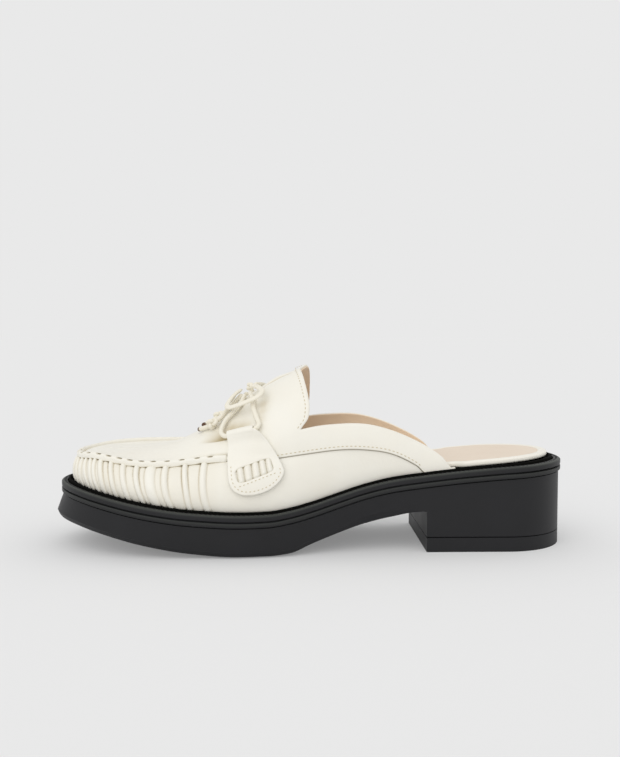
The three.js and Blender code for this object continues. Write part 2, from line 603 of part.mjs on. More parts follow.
// Point over the crown: from is measured from the toe tip, up is the share of the way up to the crest
function overCrown(side, from, up, lift) {
  const x = TOE + from;
  const angle = QUARTER_TURN * up;
  const turn = 1e-3;
  const along = crownPoint(side, x + turn, angle).sub(crownPoint(side, x - turn, angle));
  const rising = crownPoint(side, x, angle + turn).sub(crownPoint(side, x, angle - turn));
  const normal = along.cross(rising).normalize().multiplyScalar(-SIDES[side]);
  return crownPoint(side, x, angle).addScaledVector(normal, lift);
}

// Point of the upper's form at x and height z, found by halving between the foot of the wall and the crest
function formAt(side, x, z) {
  let low = 0;
  let high = 2;
  const at = (t) => (t < 1 ? wallAt(side, x, t) : crownPoint(side, x, QUARTER_TURN * (t - 1)));
  for (let k = 0; k < 30; k += 1) {
    const middle = (low + high) / 2;
    if (at(middle).z < z) low = middle;
    else high = middle;
  }
  return at(low);
}

// Outline in the X-Z plane, pushed through one side of the shoe
function through(shape, side) {
  const geometry = new THREE.ExtrudeGeometry(shape, { depth: BALL_WIDTH, bevelEnabled: false, curveSegments: 4 });
  geometry.rotateX(QUARTER_TURN);
  if (side === "medial") geometry.translate(0, BALL_WIDTH, 0);
  return bodyOf(geometry);
}

const TAB_X = TOE + TAB_FRONT;
const TAB_Z = FOREFOOT_HEIGHT + TAB_FOOT;
const TAB_INNER = BAND_STEP + CLEARANCE; // clear of the raised band
const FOLD_RADIUS = LACE / 2 + CLEARANCE + FOLD_WALL;
const FOLD_LIFT = TAB_INNER + FOLD_RADIUS;
const FOLD_UP = { front: 0.35, back: 0.295 }; // shares of the way up to the crest

const foldPoint = (side, t) => {
  return overCrown(side, TAB_FRONT + FOLD_WIDTH * t, mix(FOLD_UP.front, FOLD_UP.back, t), FOLD_LIFT);
};

// Outline of a tab: straight in front, round below, and drawn in towards the folded top behind
function tabOutline() {
  const at = (along, up) => [TAB_X + TAB_WIDTH * along, TAB_Z + TAB_HEIGHT * up];
  const shape = new THREE.Shape();
  shape.moveTo(...at(0, 2));
  shape.lineTo(...at(0, 0.5));
  shape.lineTo(...at(0.043, 0.24));
  shape.bezierCurveTo(...at(0.07, 0.07), ...at(0.2, 0), ...at(0.37, 0));
  shape.bezierCurveTo(...at(0.7, 0.005), ...at(0.97, 0.17), ...at(1, 0.36));
  shape.quadraticCurveTo(...at(0.75, 0.92), ...at(0.42, 1.09));
  shape.lineTo(...at(0.42, 2));
  return shape;
}

// The window of a tab: millimetres along and up from its lower front corner to X and Z, and back
const WINDOW_CORNER = new THREE.Vector2(TAB_X + WINDOW_AHEAD, TAB_Z + WINDOW_ABOVE);
const WINDOW_TURN = THREE.MathUtils.degToRad(WINDOW_TILT);
const fromWindow = (along, up) => {
  return new THREE.Vector2(along, up).rotateAround(new THREE.Vector2(), WINDOW_TURN).add(WINDOW_CORNER);
};
const toWindow = (x, z) => {
  return new THREE.Vector2(x, z).sub(WINDOW_CORNER).rotateAround(new THREE.Vector2(), -WINDOW_TURN);
};

function windowOutline(inset) {
  const [left, right] = [inset, WINDOW_LENGTH - inset];
  const [low, high] = [inset, WINDOW_HEIGHT - inset];
  return new THREE.Shape([fromWindow(left, low), fromWindow(right, low), fromWindow(right, high), fromWindow(left, high)]);
}

const TAB_COLUMNS = 6;
const TAB_ROWS = 7;
const TAB_MARGIN = 3; // the sheet runs on past the outline, which cuts it

function tab(side) {
  const grid = [];
  for (let k = 0; k <= TAB_COLUMNS; k += 1) {
    const x = mix(TAB_X - TAB_MARGIN, TAB_X + TAB_WIDTH + TAB_MARGIN, k / TAB_COLUMNS);
    const t = THREE.MathUtils.clamp((x - TAB_X) / FOLD_WIDTH, 0, 1);
    const fold = crownPoint(side, x, QUARTER_TURN * mix(FOLD_UP.front, FOLD_UP.back, t));
    const height = (j) => mix(TAB_Z - TAB_MARGIN, fold.z, j / TAB_ROWS);
    grid.push(Array.from({ length: TAB_ROWS + 1 }, (_, j) => formAt(side, x, height(j))));
  }
  if (side === "medial") grid.reverse();
  const leather = sheet([grid], TAB_INNER + TAB_THICKNESS, TAB_INNER).intersect(through(tabOutline(), side));
  const roll = new THREE.CatmullRomCurve3([0, 0.33, 0.67, 1].map((t) => foldPoint(side, t)));
  return leather
    .add(cord(roll, FOLD_RADIUS, 4))
    .subtract(cord(laceCurve(side), LACE / 2 + CLEARANCE, LACE_STEPS))
    .subtract(through(windowOutline(0), side));
}

const RIB_STEPS = 4;
const PLEAT_ROWS = 2;
const PLEAT_MARGIN = 2; // the gathered leather runs on past the window, which cuts it

// Gathered leather that shows in a tab's window
function tabPleats(side) {
  const steps = RIB_STEPS * (PLEATS + 1);
  const grid = [];
  for (let k = 0; k <= steps; k += 1) {
    const along = (WINDOW_LENGTH * (k / RIB_STEPS - 0.5)) / PLEATS;
    const rows = Array.from({ length: PLEAT_ROWS + 1 }, (_, j) => {
      const { x, y } = fromWindow(along, mix(-PLEAT_MARGIN, WINDOW_HEIGHT + PLEAT_MARGIN, j / PLEAT_ROWS));
      return formAt(side, x, y);
    });
    grid.push(rows);
  }
  if (side === "medial") grid.reverse();
  const ribs = (p) => {
    return PLEAT_HEIGHT * Math.sin((Math.PI * PLEATS * toWindow(p.x, p.z).x) / WINDOW_LENGTH) ** 2;
  };
  const gathered = sheet([grid], TAB_INNER + PLEAT_BACKING, TAB_INNER, ribs);
  return gathered.intersect(through(windowOutline(CLEARANCE), side));
}

// Route of the lace on one side, from the knot down in front of the tab, through its folded top and back up. along:
// 280ths of the tab's width, back from its front edge. up: share of the way up to the crest. lift: 24ths of the lace's
// thickness over the crown.
const LACE_AHEAD = [
  { along: 85, up: 0.85, lift: 25 },
  { along: 62, up: 0.7, lift: 25 },
  { along: 32, up: 0.65, lift: 25 },
  { along: 2, up: 0.61, lift: 25 },
  { along: -18, up: 0.53, lift: 25 },
  { along: -22, up: 0.43, lift: 29 },
];
const LACE_BEHIND = [
  { along: 162, up: 0.33, lift: 29 },
  { along: 152, up: 0.41, lift: 25 },
  { along: 137, up: 0.53, lift: 25 },
  { along: 128, up: 0.69, lift: 25 },
  { along: 114, up: 0.84, lift: 25 },
];
const LACE_STEPS = 17;
const LOOP_STEPS = 12;
const END_STEPS = 6;
const TIP_STEPS = 3;

const rowPoint = (side, row) => {
  return overCrown(side, TAB_FRONT + (TAB_WIDTH * row.along) / 280, row.up, (LACE * row.lift) / 24);
};

function laceCurve(side) {
  const points = (rows) => rows.map((row) => rowPoint(side, row));
  const fold = [0, 0.33, 0.67, 1].map((t) => foldPoint(side, t));
  return new THREE.CatmullRomCurve3([...points(LACE_AHEAD), ...fold, ...points(LACE_BEHIND)]);
}

// The bow. Its rows are read as those of the lace.
const KNOT = { along: 105, up: 1, lift: 44 };
const LOOP_ROWS = [
  { along: 68, up: 0.95, lift: 56 },
  { along: 47, up: 0.84, lift: 62 },
  { along: 24, up: 0.75, lift: 62 },
  { along: 14, up: 0.69, lift: 62 },
  { along: 26, up: 0.64, lift: 62 },
  { along: 78, up: 0.61, lift: 64 },
  { along: 129, up: 0.59, lift: 64 },
  { along: 176, up: 0.6, lift: 64 },
  { along: 194, up: 0.66, lift: 64 },
  { along: 178, up: 0.76, lift: 62 },
  { along: 144, up: 0.92, lift: 52 },
];
const END_ROWS = [
  { along: 60, up: 0.93, lift: 26 },
  { along: 26, up: 0.84, lift: 25 },
  { along: -8, up: 0.75, lift: 26 },
  { along: -34, up: 0.68, lift: 28 },
];
const END_KNOT = { along: -66, up: 0.65, lift: 37 };
const TIP_ROWS = [
  { along: -96, up: 0.7, lift: 26 },
  { along: -122, up: 0.75, lift: 25 },
  { along: -146, up: 0.8, lift: 25 },
];

const crownCurve = (side, rows) => new THREE.CatmullRomCurve3(rows.map((row) => rowPoint(side, row)));

function ball(place, radius) {
  const sphere = new THREE.SphereGeometry(radius, 10, 6);
  sphere.translate(place.x, place.y, place.z);
  return bodyOf(sphere);
}

const materials = {
  leather: new THREE.MeshStandardMaterial({ color: CREAM, roughness: 0.38, metalness: 0 }),
  lining: new THREE.MeshStandardMaterial({ color: BEIGE, roughness: 0.7, metalness: 0 }),
  rubber: new THREE.MeshStandardMaterial({ color: BLACK, roughness: 0.45, metalness: 0 }),
};

function piece(name, body, material) {
  const { vertProperties, triVerts } = body.getMesh();
  const geometry = new THREE.BufferGeometry();
  geometry.setAttribute("position", new THREE.BufferAttribute(vertProperties, 3));
  geometry.setIndex(new THREE.BufferAttribute(triVerts, 1));
  const mesh = new THREE.Mesh(geometry, material.clone());
  mesh.name = name;
  return mesh;
}

const shoe = new THREE.Group();
shoe.add(piece("outsole", outsole(), materials.rubber));
shoe.add(piece("heel_lift", heelLoft(0, () => HEEL_LIFT), materials.rubber));
shoe.add(piece("welt", welt(), materials.rubber));
shoe.add(piece("insole", insole(), materials.leather));
shoe.add(piece("sock", sock(), materials.lining));
shoe.add(piece("upper", wallAndQuarters().add(apronAndBand()).add(seamRidge()), materials.leather));
shoe.add(piece("bow_knot", ball(rowPoint("lateral", KNOT), KNOT_RADIUS), materials.leather));
for (const side of ["lateral", "medial"]) {
  shoe.add(piece(`tab_${side}`, tab(side), materials.leather));
  shoe.add(piece(`tab_pleats_${side}`, tabPleats(side), materials.leather));
  shoe.add(piece(`lace_${side}`, cord(laceCurve(side), LACE / 2, LACE_STEPS), materials.leather));
  shoe.add(piece(`bow_loop_${side}`, cord(crownCurve(side, LOOP_ROWS), LACE / 2, LOOP_STEPS), materials.leather));
  shoe.add(piece(`lace_end_${side}`, cord(crownCurve(side, END_ROWS), LACE / 2, END_STEPS), materials.leather));
  shoe.add(piece(`end_knot_${side}`, ball(rowPoint(side, END_KNOT), END_KNOT_RADIUS), materials.leather));
  shoe.add(piece(`lace_tip_${side}`, cord(crownCurve(side, TIP_ROWS), LACE / 2, TIP_STEPS), materials.leather));
}

export default shoe;
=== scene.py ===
# %% [markdown]
# A loafer mule, left shoe: a black ribbed platform sole with a block heel, a backless cream leather upper
# gathered into a moccasin seam, and a lace tied through two saddle tabs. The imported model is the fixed
# frame. Every surface here is worked out from the same functions as the solids, so each piece lies where
# its solid does.
# %% Load the frame
import math

import bpy
import numpy as np
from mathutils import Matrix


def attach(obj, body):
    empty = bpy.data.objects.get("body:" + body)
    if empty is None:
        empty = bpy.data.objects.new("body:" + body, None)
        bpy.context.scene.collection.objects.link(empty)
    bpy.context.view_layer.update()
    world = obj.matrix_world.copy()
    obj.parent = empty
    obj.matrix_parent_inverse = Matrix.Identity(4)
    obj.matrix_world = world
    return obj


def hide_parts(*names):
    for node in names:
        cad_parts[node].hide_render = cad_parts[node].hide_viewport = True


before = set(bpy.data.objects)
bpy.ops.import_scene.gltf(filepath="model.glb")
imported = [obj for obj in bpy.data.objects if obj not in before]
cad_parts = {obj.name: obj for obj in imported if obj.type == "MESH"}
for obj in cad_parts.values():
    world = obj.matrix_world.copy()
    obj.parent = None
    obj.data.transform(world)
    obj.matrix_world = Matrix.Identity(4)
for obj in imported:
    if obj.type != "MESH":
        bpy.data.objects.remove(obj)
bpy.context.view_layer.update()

MM = 0.001  # one millimetre in Blender's metres

# %% [markdown]
# The camera stands at the photograph's angle: level with the instep, at the outer side of the shoe, a
# little ahead of its middle. Its lens is worked out from the focal length in pixels of the 620 by 757
# picture.
# %% Camera
PICTURE_HEIGHT = 757
FOCAL_PIXELS = 843.55
SENSOR = 36
CAMERA_PLACE = (-0.00882, -0.4499, 0.1084)
CAMERA_PITCH = 0.0503
CAMERA_PAN = 0.0196

camera = bpy.data.objects.new("camera", bpy.data.cameras.new("camera"))
camera.data.sensor_width = SENSOR
camera.data.lens = FOCAL_PIXELS * SENSOR / PICTURE_HEIGHT
camera.data.clip_start = 0.01
camera.location = CAMERA_PLACE
camera.rotation_euler = (math.pi / 2 - CAMERA_PITCH, 0, -CAMERA_PAN)
bpy.context.scene.collection.objects.link(camera)
bpy.context.scene.camera = camera
print("lens", round(camera.data.lens, 2), "mm")

# %% [markdown]
# A few helpers carry everything else. A table of rows becomes a smooth curve that never overshoots its
# rows, so a last can be described by a dozen stations. A rounded end closes a plan like a superellipse, and
# a bell curve is the soft hump that creases, hollows and shades are made of.
# %% Curves through tables
def table(names, rows):
    """Rows of numbers as a dictionary of columns."""
    return dict(zip(names.split(), np.array(rows, float).T))


def column(rows, name, at):
    """Cubic Hermite curve through one column, its slopes the harmonic mean of the slopes on both sides."""
    x, y = rows["at"], rows[name]
    at = np.clip(at, x[0], x[-1])
    slope = np.diff(y) / np.diff(x)
    before, after = slope[:-1], slope[1:]
    same = before * after > 0
    tangent = np.zeros(len(x))
    tangent[1:-1] = np.where(same, 2 * before * after / np.where(same, before + after, 1), 0)
    k = np.clip(np.searchsorted(x, at) - 1, 0, len(x) - 2)
    span = x[k + 1] - x[k]
    u = (at - x[k]) / span
    start = y[k] * (1 + 2 * u) * (1 - u) ** 2 + span * tangent[k] * u * (1 - u) ** 2
    return start + y[k + 1] * u * u * (3 - 2 * u) - span * tangent[k + 1] * u * u * (1 - u)


def mix(a, b, t):
    """Straight line from a at t = 0 to b at t = 1."""
    return a + (b - a) * t


def smooth(low, high, x):
    """Soft step: 0 below low, 1 above high."""
    t = np.clip((x - low) / (high - low), 0, 1)
    return t * t * (3 - 2 * t)


def bell(x, size):
    """Bell curve: 1 where x is 0, one part in e where x is the size."""
    return np.exp(-(x / size) ** 2)


def round_end(distance, length, power):
    """Superellipse: 0 at the tip, 1 where the straight sides begin."""
    t = np.clip(distance / length, 0, 1)
    return (1 - (1 - t) ** power) ** (1 / power)


def unit(vectors):
    """Vectors brought to length one."""
    return vectors / np.maximum(np.linalg.norm(vectors, axis=-1, keepdims=True), 1e-12)


def run_of(line):
    """Distance along a line of points from its first point to each."""
    return np.concatenate([[0], np.cumsum(np.linalg.norm(np.diff(line, axis=0), axis=1))])


def read_along(run, rows, at):
    """Rows of numbers, one for each place of a run, read off at other distances along it."""
    return np.stack([np.interp(at, run, values) for values in rows.T], -1)


def evenly(line, steps):
    """Points at even distances along a line."""
    run = run_of(line)
    return read_along(run, line, np.linspace(0, run[-1], steps + 1))


def length_of(line):
    """Length of a line of points."""
    return float(np.linalg.norm(np.diff(line, axis=0), axis=1).sum())


# %% [markdown]
# The last, the wooden foot that a shoe is built over, gives sole and upper their shape. Its sizes and
# tables are those of the solids: a row for each station from toe to heel, in shares of the named sizes.
# %% Sizes of the sole and the upper
SOLE_LENGTH = 267 * MM
BALL_WIDTH = 93 * MM
HEEL_WIDTH = 67 * MM
FOREFOOT_HEIGHT = 21.3 * MM
HEEL_HEIGHT = 44.4 * MM
TOE_SPRING = 15 * MM
TOE_RISE = 12.6 * MM
ARCH_HEIGHT = 21 * MM
HEEL_BLOCK_LENGTH = 75.5 * MM
HEEL_LIFT = 7.2 * MM
WELT_HEIGHT = 6.4 * MM
LIP_HEIGHT = 1.3 * MM
TOE_CURVE = 66 * MM
HEEL_CURVE = 33 * MM
TOE_SQUARENESS = 2.1
WELT_SETBACK = 2.4 * MM
SOLE_EDGE_INSET = 1 * MM
SOLE_EDGE_ROUND = 3.2 * MM
SOLE_EDGE_DRAFT = 5.2 * MM
TOE_INSET_FACTOR = 1.2
HEEL_INSET_FACTOR = 1.5
FEATHER_INSET = 5.2 * MM
UPPER_WALL = 2 * MM
BAND_STEP = 0.8 * MM
FOOT_GAP = 0.5 * MM
SEAM_LAP = 4 * MM
SEAM_HEIGHT = 26.4 * MM
INSTEP_RISE = 69.5 * MM
COLLAR_RISE = 37.8 * MM
WALL_BULGE = 3.2 * MM
SEAM_TOE_INSET = 9.2 * MM
THROAT = 128 * MM
TONGUE_FLARE = 5.4 * MM
QUARTER_END = 206 * MM
QUARTER_END_HEIGHT = 1.4 * MM
RIDGE_WIDTH = 2.8 * MM
RIDGE_HEIGHT = 2.2 * MM
RIDGE_END = 91 * MM
INSOLE_THICKNESS = 3.3 * MM
INSOLE_INSET = 4.7 * MM
INSOLE_GAP = 0.7 * MM
SOCK_INSET = 3 * MM
CLEARANCE = 0.3 * MM
BULGE_LEVEL, SHOULDER_LEVEL, SHOULDER_TUCK, SHOULDER_BULGE = 0.35, 0.88, 0.35, 0.4

TOE = -SOLE_LENGTH / 2
HEEL = SOLE_LENGTH / 2
WELT_TOE = TOE + WELT_SETBACK
BREAST = HEEL - HEEL_BLOCK_LENGTH
SEAM_TOE = WELT_TOE + SEAM_TOE_INSET
FEATHER_TOE = WELT_TOE + FEATHER_INSET * TOE_INSET_FACTOR
SEAM_CURVE = TOE_CURVE * 0.82
SEAM_END = TOE + 0.718 * SOLE_LENGTH
UPPER_END = TOE + QUARTER_END
THROAT_X = TOE + THROAT
QUARTER_TURN = math.pi / 2
SIDES = {"lateral": -1.0, "medial": 1.0}

SOLE_ROWS = table("at lateral medial spring rise arch pitch", [
    (0.0, 1.0, 0.98, 1.0, 1.0, 0, 0),
    (0.05, 1.0, 0.99, 0.9, 0.89, 0, 0),
    (0.1, 1.0, 1.0, 0.72, 0.71, 0, 0),
    (0.2, 1.0, 1.0, 0.34, 0.33, 0, 0),
    (0.28, 1.0, 1.0, 0.11, 0.11, 0, 0),
    (0.36, 1.0, 0.86, 0, 0.01, 0, 0),
    (0.42, 0.87, 0.66, 0, 0, 0, 0.01),
    (0.46, 0.71, 0.49, 0, 0, 0.04, 0.07),
    (0.5, 0.5, 0.34, 0, 0, 0.23, 0.175),
    (0.55, 0.29, 0.2, 0, 0, 0.46, 0.35),
    (0.6, 0.15, 0.12, 0, 0, 0.68, 0.525),
    (0.65, 0.06, 0.12, 0, 0, 0.85, 0.655),
    (0.7, 0.01, 0.14, 0, 0, 0.97, 0.735),
    (0.8, 0, 0.06, 0, 0, 1, 0.865),
    (0.9, 0, 0, 0, 0, 1, 0.955),
    (1.0, 0, 0, 0, 0, 1, 1),
])
UPPER_ROWS = table("at tuck lateral medial crest arched bulge collar lean", [
    (0.03, 0.072, 0.49, 0.5, 0.215, 0, 0.5, 1, 1),
    (0.1, 0.088, 0.635, 0.67, 0.273, 0, 0.7, 1, 1),
    (0.16, 0.1, 0.66, 0.8, 0.325, 0, 0.9, 1, 1),
    (0.22, 0.108, 0.74, 0.9, 0.393, 0, 1, 1, 1),
    (0.28, 0.108, 0.87, 0.975, 0.5, 0.15, 1, 1, 1),
    (0.34, 0.09, 0.97, 1.03, 0.69, 0.5, 0.9, 1, 1),
    (0.4, 0.058, 1.0, 1.04, 0.84, 0.85, 0.75, 1, 1),
    (0.46, 0.03, 0.99, 1.03, 0.945, 1, 0.6, 1, 1),
    (0.5, 0.013, 0.95, 0.99, 1.0, 1, 0.5, 0.99, 1.1),
    (0.55, -0.004, 0.85, 0.89, 1.04, 1, 0.4, 0.92, 1.3),
    (0.6, -0.012, 0.69, 0.72, 1.06, 1, 0.4, 0.81, 1.3),
    (0.65, -0.012, 0.49, 0.52, 1.06, 1, 0.4, 0.645, 1.3),
    (0.7, -0.003, 0.17, 0.19, 1.06, 1, 0.2, 0.445, 1.2),
    (0.718, 0, 0, 0, 1.06, 1, 0, 0.36, 1.1),
    (0.745, 0, 0, 0, 1.06, 1, 0, 0.21, 0.8),
    (0.772, 0, 0, 0, 1.06, 1, 0, 0, 0.3),
])
WELT_ROWS = table("at inset height lip", [
    (0, 0.21, 0.02, 0), (1, 0.01, 0.12, 0), (2, 0, 0.37, 0), (3, 0.17, 0.47, 0), (4, 0.01, 0.57, 0),
    (5, 0, 0.86, 0), (6, 0.19, 1, 0), (7, 0.42, 1, 0), (8, 0.5, 0.94, 0), (9, 0.57, 1, 0.8), (10, 0.68, 1, 1),
    (11, 0.77, 1, 0.8), (12, 0.78, 1, 0),
])
print("stations", len(SOLE_ROWS["at"]), "of the sole and", len(UPPER_ROWS["at"]), "of the upper")

# %% [markdown]
# Heights run along the sole, and half widths across it. The wall of the upper is a Bezier curve from the
# welt to the seam, and the crown over it an arch whose roundness changes along the foot.
# %% Functions of the last
def share(x):
    """Share of the length from the toe."""
    return (x - TOE) / SOLE_LENGTH


def welt_top(x):
    """Floor to the top of the welt: forefoot height, plus the rise at the toe, plus the climb to the heel."""
    climb = (HEEL_HEIGHT - FOREFOOT_HEIGHT) * column(SOLE_ROWS, "pitch", share(x))
    return FOREFOOT_HEIGHT + TOE_RISE * column(SOLE_ROWS, "rise", share(x)) + climb


def foot_height(x):
    """Foot of the upper, just over the welt."""
    return welt_top(x) + FOOT_GAP


def underside(x):
    """Underside of the sole: toe spring plus arch."""
    spring, arch = (column(SOLE_ROWS, name, share(x)) for name in ("spring", "arch"))
    return TOE_SPRING * spring + ARCH_HEIGHT * arch


def body_half_width(side, x):
    """Half width of the sole before its ends are rounded."""
    return mix(HEEL_WIDTH, BALL_WIDTH, column(SOLE_ROWS, side, share(x))) / 2


def seam_height(side, x):
    """Height of the seam between the wall and the crown."""
    return foot_height(x) + (SEAM_HEIGHT - FOOT_GAP) * column(UPPER_ROWS, side, share(x))


def crest_height(x):
    """Height of the middle line of the upper."""
    return welt_top(x) + INSTEP_RISE * column(UPPER_ROWS, "crest", share(x))


def wall_inset(q, bulge, tuck):
    """Bezier curve of insets: 0 at the foot, out by the bulge, in at the shoulder, the tuck at the seam."""
    low, high, top = 3 * q * (1 - q) ** 2, 3 * q * q * (1 - q), q ** 3
    return -low * bulge + high * (SHOULDER_TUCK * tuck - SHOULDER_BULGE * bulge) + top * tuck


def wall_tip(q):
    """Toe tip of the wall at level q."""
    return FEATHER_TOE + wall_inset(q, WALL_BULGE * UPPER_ROWS["bulge"][0], SEAM_TOE - FEATHER_TOE)


def wall_at(side, x, q):
    """Point of the wall at x, up from its foot (q = 0) to the seam (q = 1)."""
    bulge = WALL_BULGE * column(UPPER_ROWS, "bulge", share(x))
    tuck = BALL_WIDTH * column(UPPER_ROWS, "tuck", share(x))
    half = body_half_width(side, x) - FEATHER_INSET - wall_inset(q, bulge, tuck)
    y = SIDES[side] * half * round_end(x - wall_tip(q), mix(TOE_CURVE, SEAM_CURVE, q), TOE_SQUARENESS)
    rise = 3 * q * (1 - q) ** 2 * BULGE_LEVEL + 3 * q * q * (1 - q) * SHOULDER_LEVEL + q ** 3
    return np.stack(np.broadcast_arrays(x, y, mix(foot_height(x), seam_height(side, x), rise)), -1)


def seam_half_width(side, x):
    """Half width at the seam."""
    tuck = BALL_WIDTH * column(UPPER_ROWS, "tuck", share(x))
    half = body_half_width(side, x) - FEATHER_INSET - tuck
    return half * round_end(x - SEAM_TOE, SEAM_CURVE, TOE_SQUARENESS)


def crown_at(side, x, angle):
    """Point of the crown at x and an angle up from the seam (0) to the crest (a quarter turn)."""
    low = seam_height(side, x)
    up = mix(np.sin(angle) ** 2, np.sin(angle), column(UPPER_ROWS, "arched", share(x)))
    rise = (crest_height(x) - low) * round_end(x - SEAM_TOE, SEAM_CURVE, TOE_SQUARENESS) * up
    y = SIDES[side] * seam_half_width(side, x) * np.cos(angle)
    return np.stack(np.broadcast_arrays(x, y, low + rise), -1)


def collar_height(x):
    """Height of the topline behind the tongue."""
    rise = COLLAR_RISE * column(UPPER_ROWS, "collar", share(x))
    return welt_top(x) + np.maximum(rise, QUARTER_END_HEIGHT)


def throat_angle(side):
    """Angle up the arch at which the topline meets the tongue."""
    low = seam_height(side, THROAT_X)
    return math.asin((collar_height(THROAT_X) - low) / (crest_height(THROAT_X) - low))


def band_at(side, x, r):
    """Point of the collar band behind the throat, from the seam (r = 0) to the topline (r = 1)."""
    lean = math.sin(throat_angle(side)) * column(UPPER_ROWS, "lean", share(x))
    lean = lean / column(UPPER_ROWS, "lean", share(THROAT_X))
    y = SIDES[side] * seam_half_width(side, x) * np.sqrt(1 - (lean * r) ** 2)
    return np.stack(np.broadcast_arrays(x, y, mix(seam_height(side, x), collar_height(x), r)), -1)


def from_tip(s):
    """Stations close together at the tip and wide apart at the far end."""
    return 1 - np.cos(QUARTER_TURN * s)


print("ball is", round(2000 * float(body_half_width("lateral", np.array(-0.06))), 1), "mm wide")

# %% [markdown]
# A piece of leather is a surface with two faces. The grids give its middle form, and vertex normals carry
# one face out and the other in, with a rim round every free edge. Points that grids share are welded first,
# so the normals run through from one grid to the next.
# %% Meshes from arrays
WELD = 0.002 * MM


def weld(grids):
    """Grids of points to welded places, faces of four corners and the first grid point of each place. A
    corner that falls on its neighbour gives a triangle; a face folded onto itself is left out."""
    places = np.concatenate([g.reshape(-1, 3) for g in grids])
    _, first, merged = np.unique(np.round(places / WELD), axis=0, return_index=True, return_inverse=True)
    merged = merged.reshape(-1)
    faces, start = [], 0
    for g in grids:
        index = merged[start:start + g.shape[0] * g.shape[1]].reshape(g.shape[:2])
        start += index.size
        corners = [index[:-1, :-1], index[1:, :-1], index[1:, 1:], index[:-1, 1:]]
        faces.append(np.stack(corners, -1).reshape(-1, 4))
    quads = np.concatenate(faces)
    return places[first], quads[(quads[:, 0] != quads[:, 2]) & (quads[:, 1] != quads[:, 3])], first


def turned_out(places, quads):
    """Turns all faces round if the closed mesh holds a negative volume."""
    a, b, c, d = (places[quads[:, k]] for k in range(4))
    volume = (np.cross(a, b) * c).sum() + (np.cross(a, c) * d).sum()
    return quads if volume > 0 else quads[:, ::-1]


def normals_of(places, quads):
    """Area weighted vertex normals: the cross product of each face's diagonals, summed at its corners."""
    cross = np.cross(places[quads[:, 2]] - places[quads[:, 0]], places[quads[:, 3]] - places[quads[:, 1]])
    normals = np.zeros_like(places)
    for corner in range(4):
        np.add.at(normals, quads[:, corner], cross)
    return unit(normals)


def add_piece(name, places, quads, material, slot, replaces=(), values=None, sharp=40):
    """Mesh object of welded places and quads, smooth up to the sharp angle, riding on the one body."""
    folded = (quads[:, :, None] == quads[:, None, :]).sum((1, 2)) > 4
    tris = [row[np.sort(np.unique(row, return_index=True)[1])] for row in quads[folded]]
    tris = [row for row in tris if len(row) == 3]
    corners = np.concatenate([quads[~folded].reshape(-1), *tris]).astype(np.int32)
    totals = np.array([4] * int((~folded).sum()) + [3] * len(tris))
    mesh = bpy.data.meshes.new(name)
    mesh.vertices.add(len(places))
    mesh.vertices.foreach_set("co", places.astype(np.float32).reshape(-1))
    mesh.loops.add(len(corners))
    mesh.loops.foreach_set("vertex_index", corners)
    mesh.polygons.add(len(totals))
    mesh.polygons.foreach_set("loop_start", (np.cumsum(totals) - totals).astype(np.int32))
    mesh.update(calc_edges=True)
    mesh.validate()
    for key, value in (values or {}).items():
        layer = mesh.attributes.new(key, "FLOAT", "POINT")
        layer.data.foreach_set("value", value.astype(np.float32))
    mesh.shade_smooth()
    mesh.set_sharp_from_angle(angle=math.radians(sharp))
    mesh.materials.append(material)
    piece = bpy.data.objects.new(name, mesh)
    bpy.context.scene.collection.objects.link(piece)
    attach(piece, "root")
    if replaces:
        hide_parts(*replaces)
    print(f"{name}: {len(places)} points, {len(totals)} faces")
    return piece


def open_edges(places, quads, normals):
    """Ends of the edges that only one face has, and the direction out of the sheet at each place."""
    starts, ends = quads.reshape(-1), np.roll(quads, -1, axis=1).reshape(-1)
    real = starts != ends
    starts, ends = starts[real], ends[real]
    free = ~np.isin(starts * len(places) + ends, ends * len(places) + starts)
    a, b = starts[free], ends[free]
    sideways = np.cross(places[b] - places[a], normals[a] + normals[b])
    outward = np.zeros_like(places)
    np.add.at(outward, a, sideways)
    np.add.at(outward, b, sideways)
    return a, b, unit(outward)


def leather_shell(grids, outer, inner, tints=(), rim=2, rounding=0.35):
    """Two faces, outer and inner from the grids, closed by a rounded rim. Returns places, quads and carried
    tints."""
    places, quads, first = weld(grids)

    def welded(fields):
        parts = [np.broadcast_to(field, g.shape[:2]).reshape(-1) for field, g in zip(fields, grids)]
        return np.concatenate(parts)[first]

    out, into, carried = welded(outer), welded(inner), [welded(tint) for tint in tints]
    normals = normals_of(places, quads)
    a, b, outward = open_edges(places, quads, normals)
    border = np.unique(np.concatenate([a, b]))
    lookup = np.full(len(places), -1)
    lookup[border] = np.arange(len(border))
    thick = (out - into)[border, None]
    layers, shades = [places + normals * out[:, None]], [carried]
    total, rings = len(places), [(a, b)]
    for step in range(1, rim + 1):
        t = step / (rim + 1)
        ring = places[border] + normals[border] * mix(out[border, None], into[border, None], t)
        layers.append(ring + outward[border] * thick * rounding * math.sin(math.pi * t))
        shades.append([tint[border] for tint in carried])
        rings.append((total + lookup[a], total + lookup[b]))
        total += len(border)
    layers.append(places + normals * into[:, None])
    shades.append(carried)
    rings.append((total + a, total + b))
    faces = [quads, quads[:, ::-1] + total]
    for (a, b), (next_a, next_b) in zip(rings, rings[1:]):
        faces.append(np.stack([b, a, next_a, next_b], -1))
    return np.concatenate(layers), np.concatenate(faces), [np.concatenate(parts) for parts in zip(*shades)]


